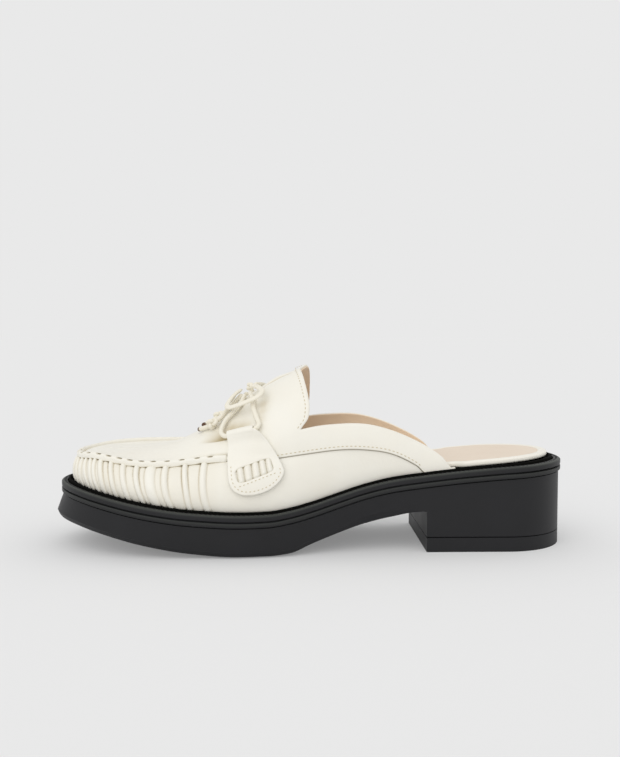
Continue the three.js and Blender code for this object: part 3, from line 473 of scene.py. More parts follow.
def tube(path, radius, sides=14, caps=True, flat=1.0, facing=None):
    """Circle of the radius carried along a path, its frame turned as little as it can be, with round caps.
    A strap is flattened along the direction that it faces."""
    path = np.asarray(path, float)
    tangent = unit(np.gradient(path, axis=0))
    across = np.cross(tangent[0], (0.0, 0.0, 1.0))
    frames = []
    for t in tangent:
        across = unit(across - t * (across @ t))
        frames.append(across)
    across = np.array(frames) if facing is None else unit(np.cross(facing, tangent))
    up = np.cross(tangent, across) * flat
    reach = np.full(len(path), float(radius))
    if caps:
        rounds = np.linspace(0, QUARTER_TURN, 5)[:-1]
        head = [path[0] - tangent[0] * radius * math.cos(a) for a in rounds]
        tail = [path[-1] + tangent[-1] * radius * math.cos(a) for a in rounds[::-1]]
        path = np.concatenate([head, path, tail])
        reach = np.concatenate([radius * np.sin(rounds), reach, radius * np.sin(rounds)[::-1]])
        across, up = (np.pad(v, ((len(rounds), len(rounds)), (0, 0)), mode="edge") for v in (across, up))
    turn = np.linspace(0, 2 * math.pi, sides + 1)
    ring = across[:, None] * np.cos(turn)[None, :, None] + up[:, None] * np.sin(turn)[None, :, None]
    return path[:, None] + ring * reach[:, None, None]


def route(points, steps=160):
    """Centripetal Catmull-Rom curve through points, sampled evenly along its length."""
    points = np.asarray(points, float)
    points = np.concatenate([[2 * points[0] - points[1]], points, [2 * points[-1] - points[-2]]])
    knots = np.concatenate([[0], np.cumsum(np.sqrt(np.linalg.norm(np.diff(points, axis=0), axis=1)))])
    t = np.linspace(knots[1], knots[-2], 40 * len(points))
    k = np.clip(np.searchsorted(knots, t, side="right") - 1, 1, len(points) - 3)
    p, n = [points[k + d] for d in (-1, 0, 1, 2)], [knots[k + d] for d in (-1, 0, 1, 2)]

    def between_knots(i, j, low, high):
        return ((n[j] - t) / (n[j] - n[i]))[:, None] * low + ((t - n[i]) / (n[j] - n[i]))[:, None] * high

    first, second, third = (between_knots(i, i + 1, p[i], p[i + 1]) for i in range(3))
    low, high = between_knots(0, 2, first, second), between_knots(1, 3, second, third)
    return evenly(between_knots(1, 2, low, high), steps)


# %% [markdown]
# Materials follow the real ones. One function turns a hex colour to the linear values that a shader wants,
# and one adds a node with its settings and links. The rest are the few moves that every material here is
# made of.
# %% Colour and node helpers
def linear(text):
    """sRGB hex to linear red, green, blue and alpha."""
    values = [int(text[k:k + 2], 16) / 255 for k in (1, 3, 5)]
    return [v / 12.92 if v <= 0.04045 else ((v + 0.055) / 1.055) ** 2.4 for v in values] + [1.0]


def new_material(name):
    """Material with an empty node tree, its shader and its output."""
    material = bpy.data.materials.new(name)
    material.use_nodes = True
    tree = material.node_tree
    tree.nodes.clear()
    shader = tree.nodes.new("ShaderNodeBsdfPrincipled")
    output = tree.nodes.new("ShaderNodeOutputMaterial")
    tree.links.new(shader.outputs[0], output.inputs["Surface"])
    return material, tree, shader


def node(tree, kind, settings=None, links=None, values=None):
    """Adds a node, sets its properties and sockets, and links other nodes' sockets to its own."""
    made = tree.nodes.new(kind)
    for key, value in (settings or {}).items():
        setattr(made, key, value)
    for key, value in (values or {}).items():
        made.inputs[key].default_value = value
    for key, source in (links or {}).items():
        tree.links.new(source, made.inputs[key])
    return made


def noise(tree, place, spacing, detail, roughness=0.5):
    """Cloudy noise whose features lie a spacing apart."""
    values = {"Scale": 1 / spacing, "Detail": detail, "Roughness": roughness}
    return node(tree, "ShaderNodeTexNoise", None, {"Vector": place}, values).outputs["Fac"]


def tinted(tree, factor, under, over):
    """Colour that turns from under, a hex colour or another node's colour, to the hex colour over by a
    factor."""
    fixed = isinstance(under, str)
    links = {"Factor": factor} if fixed else {"Factor": factor, "A": under}
    values = {"A": linear(under), "B": linear(over)} if fixed else {"B": linear(over)}
    return node(tree, "ShaderNodeMix", {"data_type": "RGBA"}, links, values).outputs["Result"]


def marked(tree, name):
    """Value that the mesh carries under a name, 0 where it carries none."""
    return node(tree, "ShaderNodeAttribute", {"attribute_name": name}).outputs["Fac"]


def bumped(tree, height, strength, distance, over=None):
    """Normal roughened by a height, over another normal if there is one."""
    links = {"Height": height, "Normal": over} if over else {"Height": height}
    values = {"Strength": strength, "Distance": distance}
    return node(tree, "ShaderNodeBump", None, links, values).outputs["Normal"]


def wavering(tree, source, low, high):
    """Value between low and high that follows another one."""
    made = node(tree, "ShaderNodeMapRange", None, {"Value": source}, {"To Min": low, "To Max": high})
    return made.outputs["Result"]


def dress(tree, shader, **sockets):
    """Links sources to the shader's sockets, named with underscores."""
    for key, source in sockets.items():
        tree.links.new(source, shader.inputs[key.replace("_", " ")])


# %% [markdown]
# Smooth calf leather with a pigmented finish: a cream coat with a low sheen, pores under half a millimetre
# apart and soft wrinkles a few millimetres long. Shade is painted into it: the mesh carries two values that
# tint it, warmer in creases, folds and under the lace, and darker in gaps where hardly any light comes back.
# %% Leather
PORE = 0.45 * MM
WRINKLE = 5 * MM
LEATHER_CLOUD = 22 * MM
GAP_SHADE = "#75684A"


def leather(name, light, warm, crease_and_shade, roughness, pore=PORE, relief=0.05 * MM, sheen=0.0):
    """Finished leather: clouds between two tints, painted shade in creases and gaps, pores and wrinkles as
    bump, uneven gloss."""
    material, tree, shader = new_material(name)
    place = node(tree, "ShaderNodeTexCoord").outputs["Object"]
    clouds = tinted(tree, noise(tree, place, LEATHER_CLOUD, 3.0), light, warm)
    # Painted shade: two values that the mesh carries tint creases, folds and shaded spots warmer and gaps
    # darker.
    crease_shaded = tinted(tree, marked(tree, "crease_and_shade"), clouds, crease_and_shade)
    shaded = tinted(tree, marked(tree, "gap_shade"), crease_shaded, GAP_SHADE)
    settings, values = {"feature": "SMOOTH_F1"}, {"Scale": 1 / pore}
    pores = node(tree, "ShaderNodeTexVoronoi", settings, {"Vector": place}, values).outputs["Distance"]
    wrinkles = noise(tree, place, WRINKLE, 5.0, 0.55)
    fine = bumped(tree, pores, 0.25, relief)
    dress(tree, shader, Base_Color=shaded, Normal=bumped(tree, wrinkles, 0.35, 0.5 * MM, fine),
          Roughness=wavering(tree, wrinkles, roughness - 0.06, roughness + 0.08))
    shader.inputs["IOR"].default_value = 1.48
    shader.inputs["Sheen Weight"].default_value = sheen
    return material


calf = leather("cream_calf_leather", "#F1EFE6", "#ECE7DA", "#C3B187", 0.40)
lace_skin = leather("cream_lace_leather", "#F0ECDF", "#E9E2D0", "#B7A67C", 0.42, relief=0.03 * MM)
pigskin = leather("tan_pigskin_lining", "#EDD8BE", "#E3CCB0", "#8E6A4C", 0.62, 0.8 * MM, 0.08 * MM, 0.1)
sock_skin = leather("beige_sock_leather", "#E9DBC9", "#E2D1BE", "#B99E84", 0.55, relief=0.03 * MM)
print("leathers", [m.name for m in (calf, lace_skin, pigskin, sock_skin)])

# %% [markdown]
# The sole unit is moulded thermoplastic rubber: near black, satin, with a faint grain from the mould, and a
# greyer highlight painted on its ribs. Waxed thread and the raw cut end of the lace are small but they show.
# %% Rubber, thread and raw leather edge
RUBBER_GRAIN = 0.6 * MM
RUBBER_CLOUD = 15 * MM
RIB_HIGHLIGHT = "#3A3D38"


def rubber(name, colour, cloudy, roughness, relief, gloss):
    """Moulded rubber: one colour with faint clouds, a painted highlight where the mesh marks it, mould grain
    as bump and a satin gloss that wavers.
    """
    material, tree, shader = new_material(name)
    place = node(tree, "ShaderNodeTexCoord").outputs["Object"]
    clouds = noise(tree, place, RUBBER_CLOUD, 2.0)
    grains = noise(tree, place, RUBBER_GRAIN, 3.0)
    # Painted highlight: the colour turns greyer where the mesh marks the ribs.
    highlighted = tinted(tree, marked(tree, "rib_highlight"), tinted(tree, clouds, colour, cloudy), RIB_HIGHLIGHT)
    dress(tree, shader, Base_Color=highlighted, Normal=bumped(tree, grains, 0.3, relief),
          Roughness=wavering(tree, clouds, roughness - 0.05, roughness + 0.07))
    shader.inputs["IOR"].default_value = 1.5
    shader.inputs["Specular IOR Level"].default_value = gloss
    return material


def plain(name, colour, other, roughness, spacing):
    """Small trim: two tints in fine noise, matt."""
    material, tree, shader = new_material(name)
    fibres = noise(tree, node(tree, "ShaderNodeTexCoord").outputs["Object"], spacing, 2.0)
    dress(tree, shader, Base_Color=tinted(tree, fibres, colour, other),
          Normal=bumped(tree, fibres, 0.4, 0.05 * MM))
    shader.inputs["Roughness"].default_value = roughness
    return material


moulded = rubber("black_moulded_rubber", "#121214", "#1A1A1D", 0.5, 0.06 * MM, 0.34)
# Darker, duller copy of the rubber for the welt's channel: painted shade.
shaded_channel_rubber = rubber("shaded_black_rubber", "#0A0A08", "#0D0D0B", 0.9, 0.06 * MM, 0.06)
thread = plain("waxed_polyester_thread", "#D6CAAC", "#C2B490", 0.6, 0.3 * MM)
raw_edge = plain("raw_leather_edge", "#4A3426", "#6B4C36", 0.8, 0.4 * MM)

# %% [markdown]
# The lace is a round leather cord, 2.4 mm thick. It runs from the knot down in front of each tab, through
# the tab's folded top and back up, and is tied in a bow with two short loops and two knotted ends. Its
# route is read as distance from the toe tip, share of the way up to the crest, and lift over the leather.
# %% Route of the lace
LACE = 2.4 * MM
TAB_FRONT = 91.8 * MM
TAB_WIDTH = 28 * MM
TAB_FOOT = 9.7 * MM
TAB_HEIGHT = 31 * MM
TAB_THICKNESS = 1.8 * MM
FOLD_WIDTH = 13.8 * MM
FOLD_WALL = 0.8 * MM
FOLD_UP = (0.35, 0.295)
TAB_INNER = BAND_STEP + CLEARANCE
FOLD_RADIUS = LACE / 2 + CLEARANCE + FOLD_WALL
FOLD_LIFT = TAB_INNER + FOLD_RADIUS
LACE_AHEAD = ((100.3, 0.85, 2.5), (98, 0.7, 2.5), (95, 0.65, 2.5), (92, 0.61, 2.5), (90, 0.53, 2.5),
              (89.6, 0.43, 2.9))
LACE_BEHIND = ((108, 0.33, 2.9), (107, 0.41, 2.5), (105.5, 0.53, 2.5), (104.6, 0.69, 2.5), (103.2, 0.84, 2.5))
KNOT = (103.6, 1, 4.2)
LOOP = ((98.8, 0.95, 5.2), (96.7, 0.85, 5.9), (94.5, 0.76, 6.1), (93.8, 0.7, 6.2), (95.2, 0.645, 6.2),
        (99.8, 0.6, 6.3), (104.7, 0.58, 6.3), (109.0, 0.588, 6.1), (110.7, 0.635, 5.6), (109.3, 0.72, 5.0),
        (106.3, 0.86, 4.4))
END = ((97.8, 0.93, 2.6), (94.4, 0.84, 2.5), (91, 0.75, 2.6), (88.4, 0.68, 2.8))
END_KNOT = (85.2, 0.65, 3.7)
TIP = ((82.2, 0.7, 2.6), (79.6, 0.75, 2.5), (77.2, 0.8, 2.5))


def over_crown(side, start, up, lift):
    """Point a lift away from the crown, along the normal from two small steps over it."""
    x, angle, step = TOE + start, QUARTER_TURN * up, 1e-4
    along = crown_at(side, x + step * 0.1, angle) - crown_at(side, x - step * 0.1, angle)
    rising = crown_at(side, x, angle + step) - crown_at(side, x, angle - step)
    normal = unit(np.cross(along, rising) * -SIDES[side])
    return crown_at(side, x, angle) + normal * np.asarray(lift)[..., None]


def over_rows(side, rows):
    """Points over the crown for rows of millimetres from the toe, share up and millimetres of lift."""
    rows = np.array(rows, float)
    return over_crown(side, rows[:, 0] * MM, rows[:, 1], rows[:, 2] * MM)


def fold_up(t):
    """Share of the way up the crown of a tab's folded top."""
    return mix(FOLD_UP[0], FOLD_UP[1], t)


def fold_line(side, t):
    """Middle line of a tab's folded top, front (t = 0) to back (t = 1)."""
    t = np.asarray(t, float)
    return over_crown(side, TAB_FRONT + FOLD_WIDTH * t, fold_up(t), FOLD_LIFT + 0 * t)


def add_cord(name, path, radius, material, nodes, sides=16, flat=1.0, facing=None):
    """A cord as a closed mesh with round ends."""
    places, quads, _ = weld([tube(path, radius, sides, flat=flat, facing=facing)])
    return add_piece(name, places, turned_out(places, quads), material, "cream_leather", nodes,
                     {"crease_and_shade": np.zeros(len(places))})


for side in SIDES:
    through_fold = fold_line(side, [0, 0.33, 0.67, 1])
    strand = route(np.concatenate([over_rows(side, LACE_AHEAD), through_fold, over_rows(side, LACE_BEHIND)]))
    add_cord(f"lace_strand_{side}", strand, LACE / 2, lace_skin, [f"lace_{side}"])
    print(side, "strand", round(length_of(strand) / MM, 1), "mm")

# %% [markdown]
# The knots are the same cord wound tight. An overhand knot is a trefoil: it turns twice round the middle
# while it weaves three times up and down. The bow's own knot is a short wrap round the crossing. The bow's
# loops look flat, so they are drawn as straps.
# %% Knots, loops and ends
LOOP_WIDTH = 2.9 * MM
LOOP_THICKNESS = 1.8 * MM
KNOT_SIZE = 2.3 * MM
KNOT_CORD = 0.44 * LACE
WRAP_SIZE = np.array([1.0, 1.7, 1.0]) * MM
TIP_CORD = 0.505 * LACE


def trefoil(centre, size, start):
    """Overhand knot: the sum of a circle and one turned twice as fast, weaving with the sine of three
    turns."""
    t = np.linspace(0, 2 * math.pi, 121) + start
    x = (np.sin(t) + 2 * np.sin(2 * t)) / 3
    y = (np.cos(t) - 2 * np.cos(2 * t)) / 3
    return centre + np.stack([x, -np.sin(3 * t) * 0.5, y * 0.9 + 0.2 * x], -1) * size


turns = np.linspace(-0.55 * math.pi, 2.35 * math.pi, 90)
wrap = WRAP_SIZE * np.stack([np.sin(turns * 0.5), np.cos(turns), np.sin(turns)], -1)
bow_knot = add_cord("bow_wrap", over_rows("lateral", [KNOT])[0] + wrap, LACE / 2, lace_skin, ["bow_knot"])
for side in SIDES:
    loop = route(over_rows(side, LOOP))
    facing = loop - route(over_rows(side, [(at, up, lift - 3) for at, up, lift in LOOP]))
    loop_piece = add_cord(f"bow_loop_of_lace_{side}", loop, LOOP_WIDTH / 2, lace_skin, [f"bow_loop_{side}"],
                          flat=LOOP_THICKNESS / LOOP_WIDTH, facing=facing)
    end = route(over_rows(side, (*END, END_KNOT, *TIP)))
    knot = trefoil(over_rows(side, [END_KNOT])[0], KNOT_SIZE, 0.4)
    end_knot = add_cord(f"overhand_knot_{side}", knot, KNOT_CORD, lace_skin, [f"end_knot_{side}"])
    end_nodes = [f"lace_end_{side}", f"lace_tip_{side}"]
    end_piece = add_cord(f"end_of_lace_{side}", end, LACE / 2, lace_skin, end_nodes)
    cut = evenly(end[-5:], 8) + (end[-1] - end[-5]) * 0.35
    cut_piece = add_cord(f"cut_tip_{side}", cut, TIP_CORD, raw_edge, [])
    print(side, "loop", round(length_of(loop) / MM, 1), "mm, end", round(length_of(end) / MM, 1), "mm")

# %% [markdown]
# The wall of the upper is gathered into the moccasin seam: round the toe and along both sides, narrow
# pleats stand out between wider flat panels, deep at the seam and dying away towards the welt. They are
# listed in millimetres along the seam from the toe tip, as soft ridges with a trough on either side.
# %% Gathered wall of the upper
PLEATS = table("at shift width height ahead behind", [
    (1.6, 0.5, 1.3, 0.55, 0.35, 0.3),
    (5.2, 2.0, 1.3, 0.65, 0.45, 0.3),
    (8.8, 3.4, 1.2, 0.55, 0.35, 0.45),
    (12.3, 4.8, 1.3, 0.65, 0.45, 0.35),
    (16.3, 5.8, 1.4, 0.65, 0.5, 0.35),
    (20.5, 6.2, 1.3, 0.65, 0.35, 0.5),
    (24.0, 6.2, 1.3, 0.55, 0.45, 0.35),
    (27.2, 6.0, 1.3, 0.65, 0.35, 0.45),
    (31.3, 6.0, 1.6, 0.75, 0.35, 0.75),
    (37.4, 6.4, 1.5, 0.9, 0.9, 0.55),
    (44.3, 5.8, 1.6, 0.9, 0.35, 0.5),
    (51.3, 6.1, 1.5, 1.0, 0.45, 0.85),
    (58.3, 5.4, 2.6, 0.6, 0.5, 0.3),
    (65.3, 5.9, 1.7, 1.0, 0.45, 0.5),
    (75.5, 4.9, 1.5, 1.1, 0.8, 0.65),
    (84.5, 4.5, 1.8, 0.9, 0.65, 0.35),
])
GATHER_END = 89 * MM
GATHER_FADE = 7 * MM
CREASE_WIDTH, CREASE_DEPTH = 0.27, 0.42
PANEL_SWELL, PANEL_REACH = 0.22, 1.1
SEAM_SINK, NOTCH_DEPTH = 0.85, 0.5
LEATHER = 1.2 * MM
LAP_DEPTH = 0.85 * MM
WALL_LEVELS = np.linspace(0, 1, 33)


def wall_grid(side, stations, levels):
    """Grid of wall points: stations from the toe tip to where the seam meets the welt, levels from foot to
    seam."""
    s, q = np.meshgrid(stations, levels, indexing="ij")
    tip = wall_tip(q)
    return wall_at(side, tip + (SEAM_END - tip) * from_tip(s), q)


def pleat_relief(along, q):
    """Round pleats between narrow creases, flat panels between them that sink in under the seam, all in
    millimetres until the end. Returns the relief out of the wall and two painted shades: a warm one in the
    creases and under the seam, a dark one in the gaps."""
    tubes, inside, crease_and_shade = (np.zeros_like(along) for _ in range(3))
    nearest = np.full_like(along, 9.0)
    for at, shift, width, height, ahead, behind in zip(*PLEATS.values()):
        away = along / MM - at - shift * (1 - q) - 0.3 * np.sin(5 * q + at)
        u = np.abs(away) / width
        round_top = np.clip(1 - u * u, 0, 1) ** 0.8
        tubes = np.maximum(tubes, height * round_top * mix(0.3, 1.0, smooth(0, 0.8, q)))
        inside = np.maximum(inside, np.clip(1.6 * (1 - u), 0, 1))
        edge = np.abs(np.abs(away) - width * 1.04)
        crease_and_shade = np.maximum(crease_and_shade, bell(edge, CREASE_WIDTH) * np.where(away < 0, ahead, behind))
        nearest = np.minimum(nearest, edge)
    gathered = 1 - smooth(GATHER_END, GATHER_END + GATHER_FADE, along)
    crease_and_shade = crease_and_shade * mix(0.45, 1.0, smooth(0.0, 0.7, q))
    panel = PANEL_SWELL * (1 - np.exp(-nearest / PANEL_REACH))
    sunk = SEAM_SINK * bell(1 - q, 0.1) * (1 - 0.9 * inside)
    notch = bell(q, 0.035) * bell(nearest, 0.6)
    relief = tubes + panel - CREASE_DEPTH * crease_and_shade - sunk - NOTCH_DEPTH * notch - PANEL_SWELL
    tint = 0.7 * crease_and_shade + 0.8 * bell(1 - q, 0.06) + 0.1 * (1 - inside)
    gap_shade = 0.6 * bell(1 - q, 0.05) * (1 - inside) + 0.35 * notch + 0.1 * crease_and_shade
    return relief * MM * gathered, np.clip(tint * gathered, 0, 1), np.clip(gap_shade * gathered, 0, 1)


def seam_stations(fine=0.2 * MM, coarse=1.3 * MM):
    """Stations that are close where the wall is gathered and wide behind, by inverting the run along the
    seam."""
    even = np.linspace(0, 1, 4001)
    run = run_of(wall_grid("lateral", even, np.array([1.0]))[:, 0])
    turn = GATHER_END + 8 * MM
    behind = np.linspace(turn, run[-1], int((run[-1] - turn) / coarse))
    return np.interp(np.concatenate([np.arange(0, turn, fine), behind]), run, even)


def gathered_half(side, stations):
    """Grid of one side with its lap under the seam and the band, its relief out of the form and its two
    painted shades."""
    grid = wall_grid(side, stations, WALL_LEVELS)
    seam, shape = grid[:, -1], grid.shape[:2]
    marks = pleat_relief(np.broadcast_to(run_of(seam)[:, None], shape), np.broadcast_to(WALL_LEVELS, shape))
    x = seam[:, 0]
    lap = np.where((x < THROAT_X)[:, None], crown_at(side, x, 0.3), band_at(side, x, 0.5)) - seam
    lap *= np.minimum(1, SEAM_LAP / np.maximum(np.linalg.norm(lap, axis=1, keepdims=True), 1e-9))
    relief, crease_and_shade, gap_shade = (np.concatenate([mark, mark[:, -1:]], 1) for mark in marks)
    relief[:, -1] = np.minimum(relief[:, -1], 0)
    parts = [np.concatenate([grid, (seam + lap)[:, None]], 1), relief, crease_and_shade, gap_shade]
    return [part[::-1] for part in parts] if side == "medial" else parts


halves = [gathered_half(side, seam_stations()) for side in SIDES]
wall_grids, wall_relief, *wall_tints = zip(*halves)
near_lap = np.arange(len(WALL_LEVELS) + 1) > len(WALL_LEVELS) - 3
wall_inner = np.where(near_lap, -LAP_DEPTH, -LEATHER)
places, quads, tints = leather_shell(wall_grids, wall_relief, [wall_inner] * 2, wall_tints)
add_piece("gathered_wall", places, quads, calf, "cream_leather", ["upper"],
          {"crease_and_shade": tints[0], "gap_shade": tints[1]}, sharp=60)
print("wall made with", len(PLEATS["at"]), "pleats a side")

# %% [markdown]
# The raised seam runs round the toe on the edge of the wall. Its line comes first, because the apron dips
# into a shallow valley along it.
# %% Line of the raised seam
SEAM_TUCK = 2.4 * MM


def seam_line(side, x):
    """Middle of the raised seam."""
    y = SIDES[side] * (seam_half_width(side, x) + BAND_STEP)
    return np.stack([x, y, seam_height(side, x) + BAND_STEP / 2], -1)


def ridge_line(steps=900):
    """Line of the raised seam from the medial tab round the toe to the lateral tab, its run from the toe
    tip, and the directions towards the apron and up."""
    x = SEAM_TOE + (TOE + RIDGE_END + SEAM_TUCK - SEAM_TOE) * from_tip(np.linspace(0, 1, steps))
    halves = {side: seam_line(side, x) for side in SIDES}
    line = evenly(np.concatenate([halves["medial"][::-1], halves["lateral"][1:]]), steps)
    run = np.linspace(0, length_of(line), steps + 1) - length_of(halves["medial"])
    along = unit(np.gradient(line, axis=0))
    across = unit(np.cross((0.0, 0.0, 1.0), along))
    return line, run, across, np.cross(along, across)


seam_middle, seam_run, seam_across, seam_up = ridge_line()
print("raised seam", round(length_of(seam_middle) / MM), "mm long")


def past_seam(grid):
    """Distance from the inner edge of the raised seam: the least distance to its line, less half its
    width."""
    points, line = grid.reshape(-1, 3), seam_middle[::2]
    squares = (points ** 2).sum(1)[:, None] + (line ** 2).sum(1)[None] - 2 * points @ line.T
    return np.sqrt(np.maximum(squares.min(1), 0)).reshape(grid.shape[:2]) - RIDGE_WIDTH / 2

# %% [markdown]
# Apron, tongue and collar bands are one skin that stands a step over the wall. In front of each tab the
# lace draws it into a sharp fold, under the bow it sinks, and a soft groove runs up the crest of the
# tongue. The two halves of the tongue flare differently, so the inside of the far half shows past the near
# one.
# %% Apron, tongue and collar bands
BAND_LEVELS = np.concatenate([[0, 0.012, 0.035], np.linspace(0, 1, 13)[1:]])
CROWN_ROWS = 70
FLARES = {
    "lateral": table("at flare", [
        (0, 0), (0.1, 0.7), (0.2, 0.82), (0.33, 0.67), (0.51, 0.4), (0.68, 0.18), (0.85, 0), (1, 0)]),
    "medial": table("at flare", [(0, 0), (0.1, 0.7), (0.22, 1), (0.42, 1), (0.6, 0.95), (0.8, 0.7), (1, 0)]),
}
FOLD_FOOT = (-56.4, 52.9)  # X and Z in millimetres where the fold ahead of a tab begins
FOLD_CLIMB = 0.235
FOLD_DEPTH, CREST_DEPTH, VALLEY_DEPTH, FOREFOOT_DROP = 2.1 * MM, 1.1 * MM, 0.9 * MM, 1.3 * MM
VALLEY_WIDTH, SEAM_SHADE_WIDTH, FOREFOOT_FADE = 1.5 * MM, 0.7 * MM, 7 * MM
# Hollows: centre and size in X, Y and Z, and depth, all in millimetres. The last one is the far half's swell.
HOLLOWS = (((-24, -22, 72), (4, 6, 8), 0.8), ((-34, -22, 68), (6, 6, 5), 1.0),
           ((-24, 22, 72), (4, 6, 8), 0.8), ((-34, 22, 68), (6, 6, 5), 1.0),
           ((-5.5, 0, 92), (7, 7, 7), 0.9), ((-18, 2.5, 86), (6, 3.5, 9), -1.3))
# Shades on both sides: X, Y, Z and size in millimetres, and strength.
SHADES = ((-24.4, 21.5, 74, 2.6, 0.4), (-24.4, 25, 70.5, 2.4, 0.3), (-24.8, 28, 67, 2.2, 0.2),
          (-40, 24.5, 62.6, 2.6, 0.45), (-35.5, 27, 63.4, 2.6, 0.35), (-31.6, 28.2, 64.6, 2.2, 0.25),
          (-45.5, 26.5, 57.4, 2.8, 0.3))


def tongue_end(side, angle):
    """Where a row of the crown ends: the throat, or the back edge of the tongue."""
    corner = throat_angle(side)
    up = np.clip((angle - corner) / (QUARTER_TURN - corner), 0, 1)
    return THROAT_X + TONGUE_FLARE * column(FLARES[side], "flare", up)


def apron_grids(front=220, behind=80):
    """Grid over the front and the tongue, and one for each band beside it, with shared points where they
    meet."""
    s = from_tip(np.linspace(0, 1, front + 1))
    rows = []
    for side in SIDES:
        corner = throat_angle(side)
        low = np.arcsin(BAND_LEVELS[:-1] * math.sin(corner))
        angles = np.concatenate([low, np.linspace(corner, QUARTER_TURN, CROWN_ROWS + 1)])
        ends = np.where(angles < corner - 1e-9, THROAT_X, tongue_end(side, angles))
        x = SEAM_TOE + (ends[None] - SEAM_TOE) * s[:, None]
        rows.append(crown_at(side, x, angles[None]))
    crown = np.concatenate([rows[0], rows[1][:, ::-1][:, 1:]], 1)
    x = np.linspace(THROAT_X, UPPER_END, behind + 1)
    bands = [band_at(side, x[:, None], BAND_LEVELS[None]) for side in SIDES]
    return [crown, bands[0], bands[1][::-1]]


def hump(grid, centre, size):
    """Soft round hump: a bell of the distance from its centre, in shares of its size."""
    away = (grid / MM - np.array(centre)) / np.array(size)
    return np.exp(-(away ** 2).sum(-1))


def fold_ahead(grid):
    """Fold in front of a tab: a line that climbs to the tab, a steep side below it and a long soft slope
    above."""
    x, y, z = (grid[..., k] / MM for k in range(3))
    above = z - FOLD_FOOT[1] - FOLD_CLIMB * (x - FOLD_FOOT[0])
    reach = smooth(-58, -45, x) * (1 - smooth(-36, -28, x)) * smooth(8, 14, np.abs(y))
    slope = np.exp(-np.clip(above - 0.9, 0, None) / mix(1.4, 3.4, smooth(-56, -44, x)))
    return reach * smooth(-0.5, 0.9, above) * slope


def crest_fold(grid):
    """Groove along the crest of the tongue, just at the near side of it."""
    x, y = grid[..., 0] / MM, grid[..., 1] / MM
    line = mix(-6.0, -2.2, smooth(-27, -22, x)) - 3.2 * smooth(-16, -9, x)
    return bell(y - line, 1.0) * smooth(-29, -25, x) * (1 - smooth(-14, -8, x))


def apron_relief(grid):
    """Step over the wall, less the folds, the valley along the seam, the flatter forefoot and the hollows."""
    x = grid[..., 0] / MM
    beside = np.maximum(past_seam(grid), 0)
    forefoot = smooth(-114, -101, x) * (1 - smooth(-76, -60, x)) * smooth(0, FOREFOOT_FADE, beside)
    relief = BAND_STEP - FOLD_DEPTH * fold_ahead(grid) - CREST_DEPTH * crest_fold(grid)
    relief -= VALLEY_DEPTH * bell(beside, VALLEY_WIDTH) + FOREFOOT_DROP * forefoot
    for centre, size, depth in HOLLOWS:
        relief -= depth * MM * hump(grid, centre, size)
    return relief


def apron_tint(grid):
    """Warm shade of the folds, the seam's valley and the places where the lace leaves its shade."""
    shade = 0.85 * fold_ahead(grid) + 0.9 * crest_fold(grid)
    shade += 0.55 * bell(past_seam(grid) - 0.2 * MM, SEAM_SHADE_WIDTH)
    for x, y, z, size, strength in SHADES:
        shade += strength * (hump(grid, (x, -y, z), size) + hump(grid, (x, y, z), size))
    return np.clip(shade, 0, 1)


def apron_gap_shade(grid, levels):
    """Painted shade, deeper in the folds, and a painted dark line along the lower edge of a band."""
    return 0.3 * fold_ahead(grid) ** 2 + 0.75 * bell(levels, 0.015)


crown_grids = apron_grids()
half_levels = np.concatenate([BAND_LEVELS[:-1], np.ones(CROWN_ROWS + 1)])
crown_levels = np.concatenate([half_levels, half_levels[::-1][1:]])
crown_gap_shade = [apron_gap_shade(g, row[None]) for g, row in zip(crown_grids, (crown_levels, BAND_LEVELS, BAND_LEVELS))]
crown_relief = [apron_relief(g) for g in crown_grids]
inside_face = [relief - LEATHER for relief in crown_relief]
places, quads, tints = leather_shell(
    crown_grids, crown_relief, inside_face, [[apron_tint(g) for g in crown_grids], crown_gap_shade])
add_piece("apron_tongue_and_bands", places, quads, calf, "cream_leather", (),
          {"crease_and_shade": tints[0], "gap_shade": tints[1]}, sharp=60)

# %% [markdown]
# The lining is thin tan pigskin, glued behind the cream leather. It shows inside the collar and under the
# tongue.
# %% Lining
GLUE_LINE = 0.03 * MM
places, quads, _ = leather_shell(
    [g[::2, ::2] for g in crown_grids], [(face - GLUE_LINE)[::2, ::2] for face in inside_face],
    [(face + LEATHER - UPPER_WALL)[::2, ::2] for face in inside_face])
add_piece("apron_lining", places, quads, pigskin, "lining_leather")
coarse = [g[::6, ::2] for g in wall_grids]
places, quads, _ = leather_shell(coarse, [-LEATHER - GLUE_LINE] * 2, [-UPPER_WALL] * 2)
add_piece("wall_lining", places, quads, pigskin, "lining_leather")

# %% [markdown]
# The raised seam is the edge of the apron and the edge of the wall sewn together and turned up. It is a
# rounded band whose lower edge rides over the pleats. Hand stitches pull dents into its inner edge, read as
# millimetres along the seam from the toe tip.
# %% Raised moccasin seam
STITCHES = np.array([3.6, 10.6, 17.4, 24.2, 31.2, 37.2, 43.3, 49.0, 55.0, 61.0, 68.0, 75.4, 83.0, 89.6]) * MM
STITCH_LENGTH = 3.0 * MM
SECTION_POWER = 0.72
PLEAT_REACH = 2.0 * MM


def near(places, reach, power=2):
    """1 at the places along the seam, falling off over the reach."""
    return np.exp(-np.min(np.abs(np.abs(seam_run)[:, None] - places[None]) / reach, axis=1) ** power)


def signed_power(values, power):
    """Power of the size of each value, with the value's sign."""
    return np.sign(values) * np.abs(values) ** power


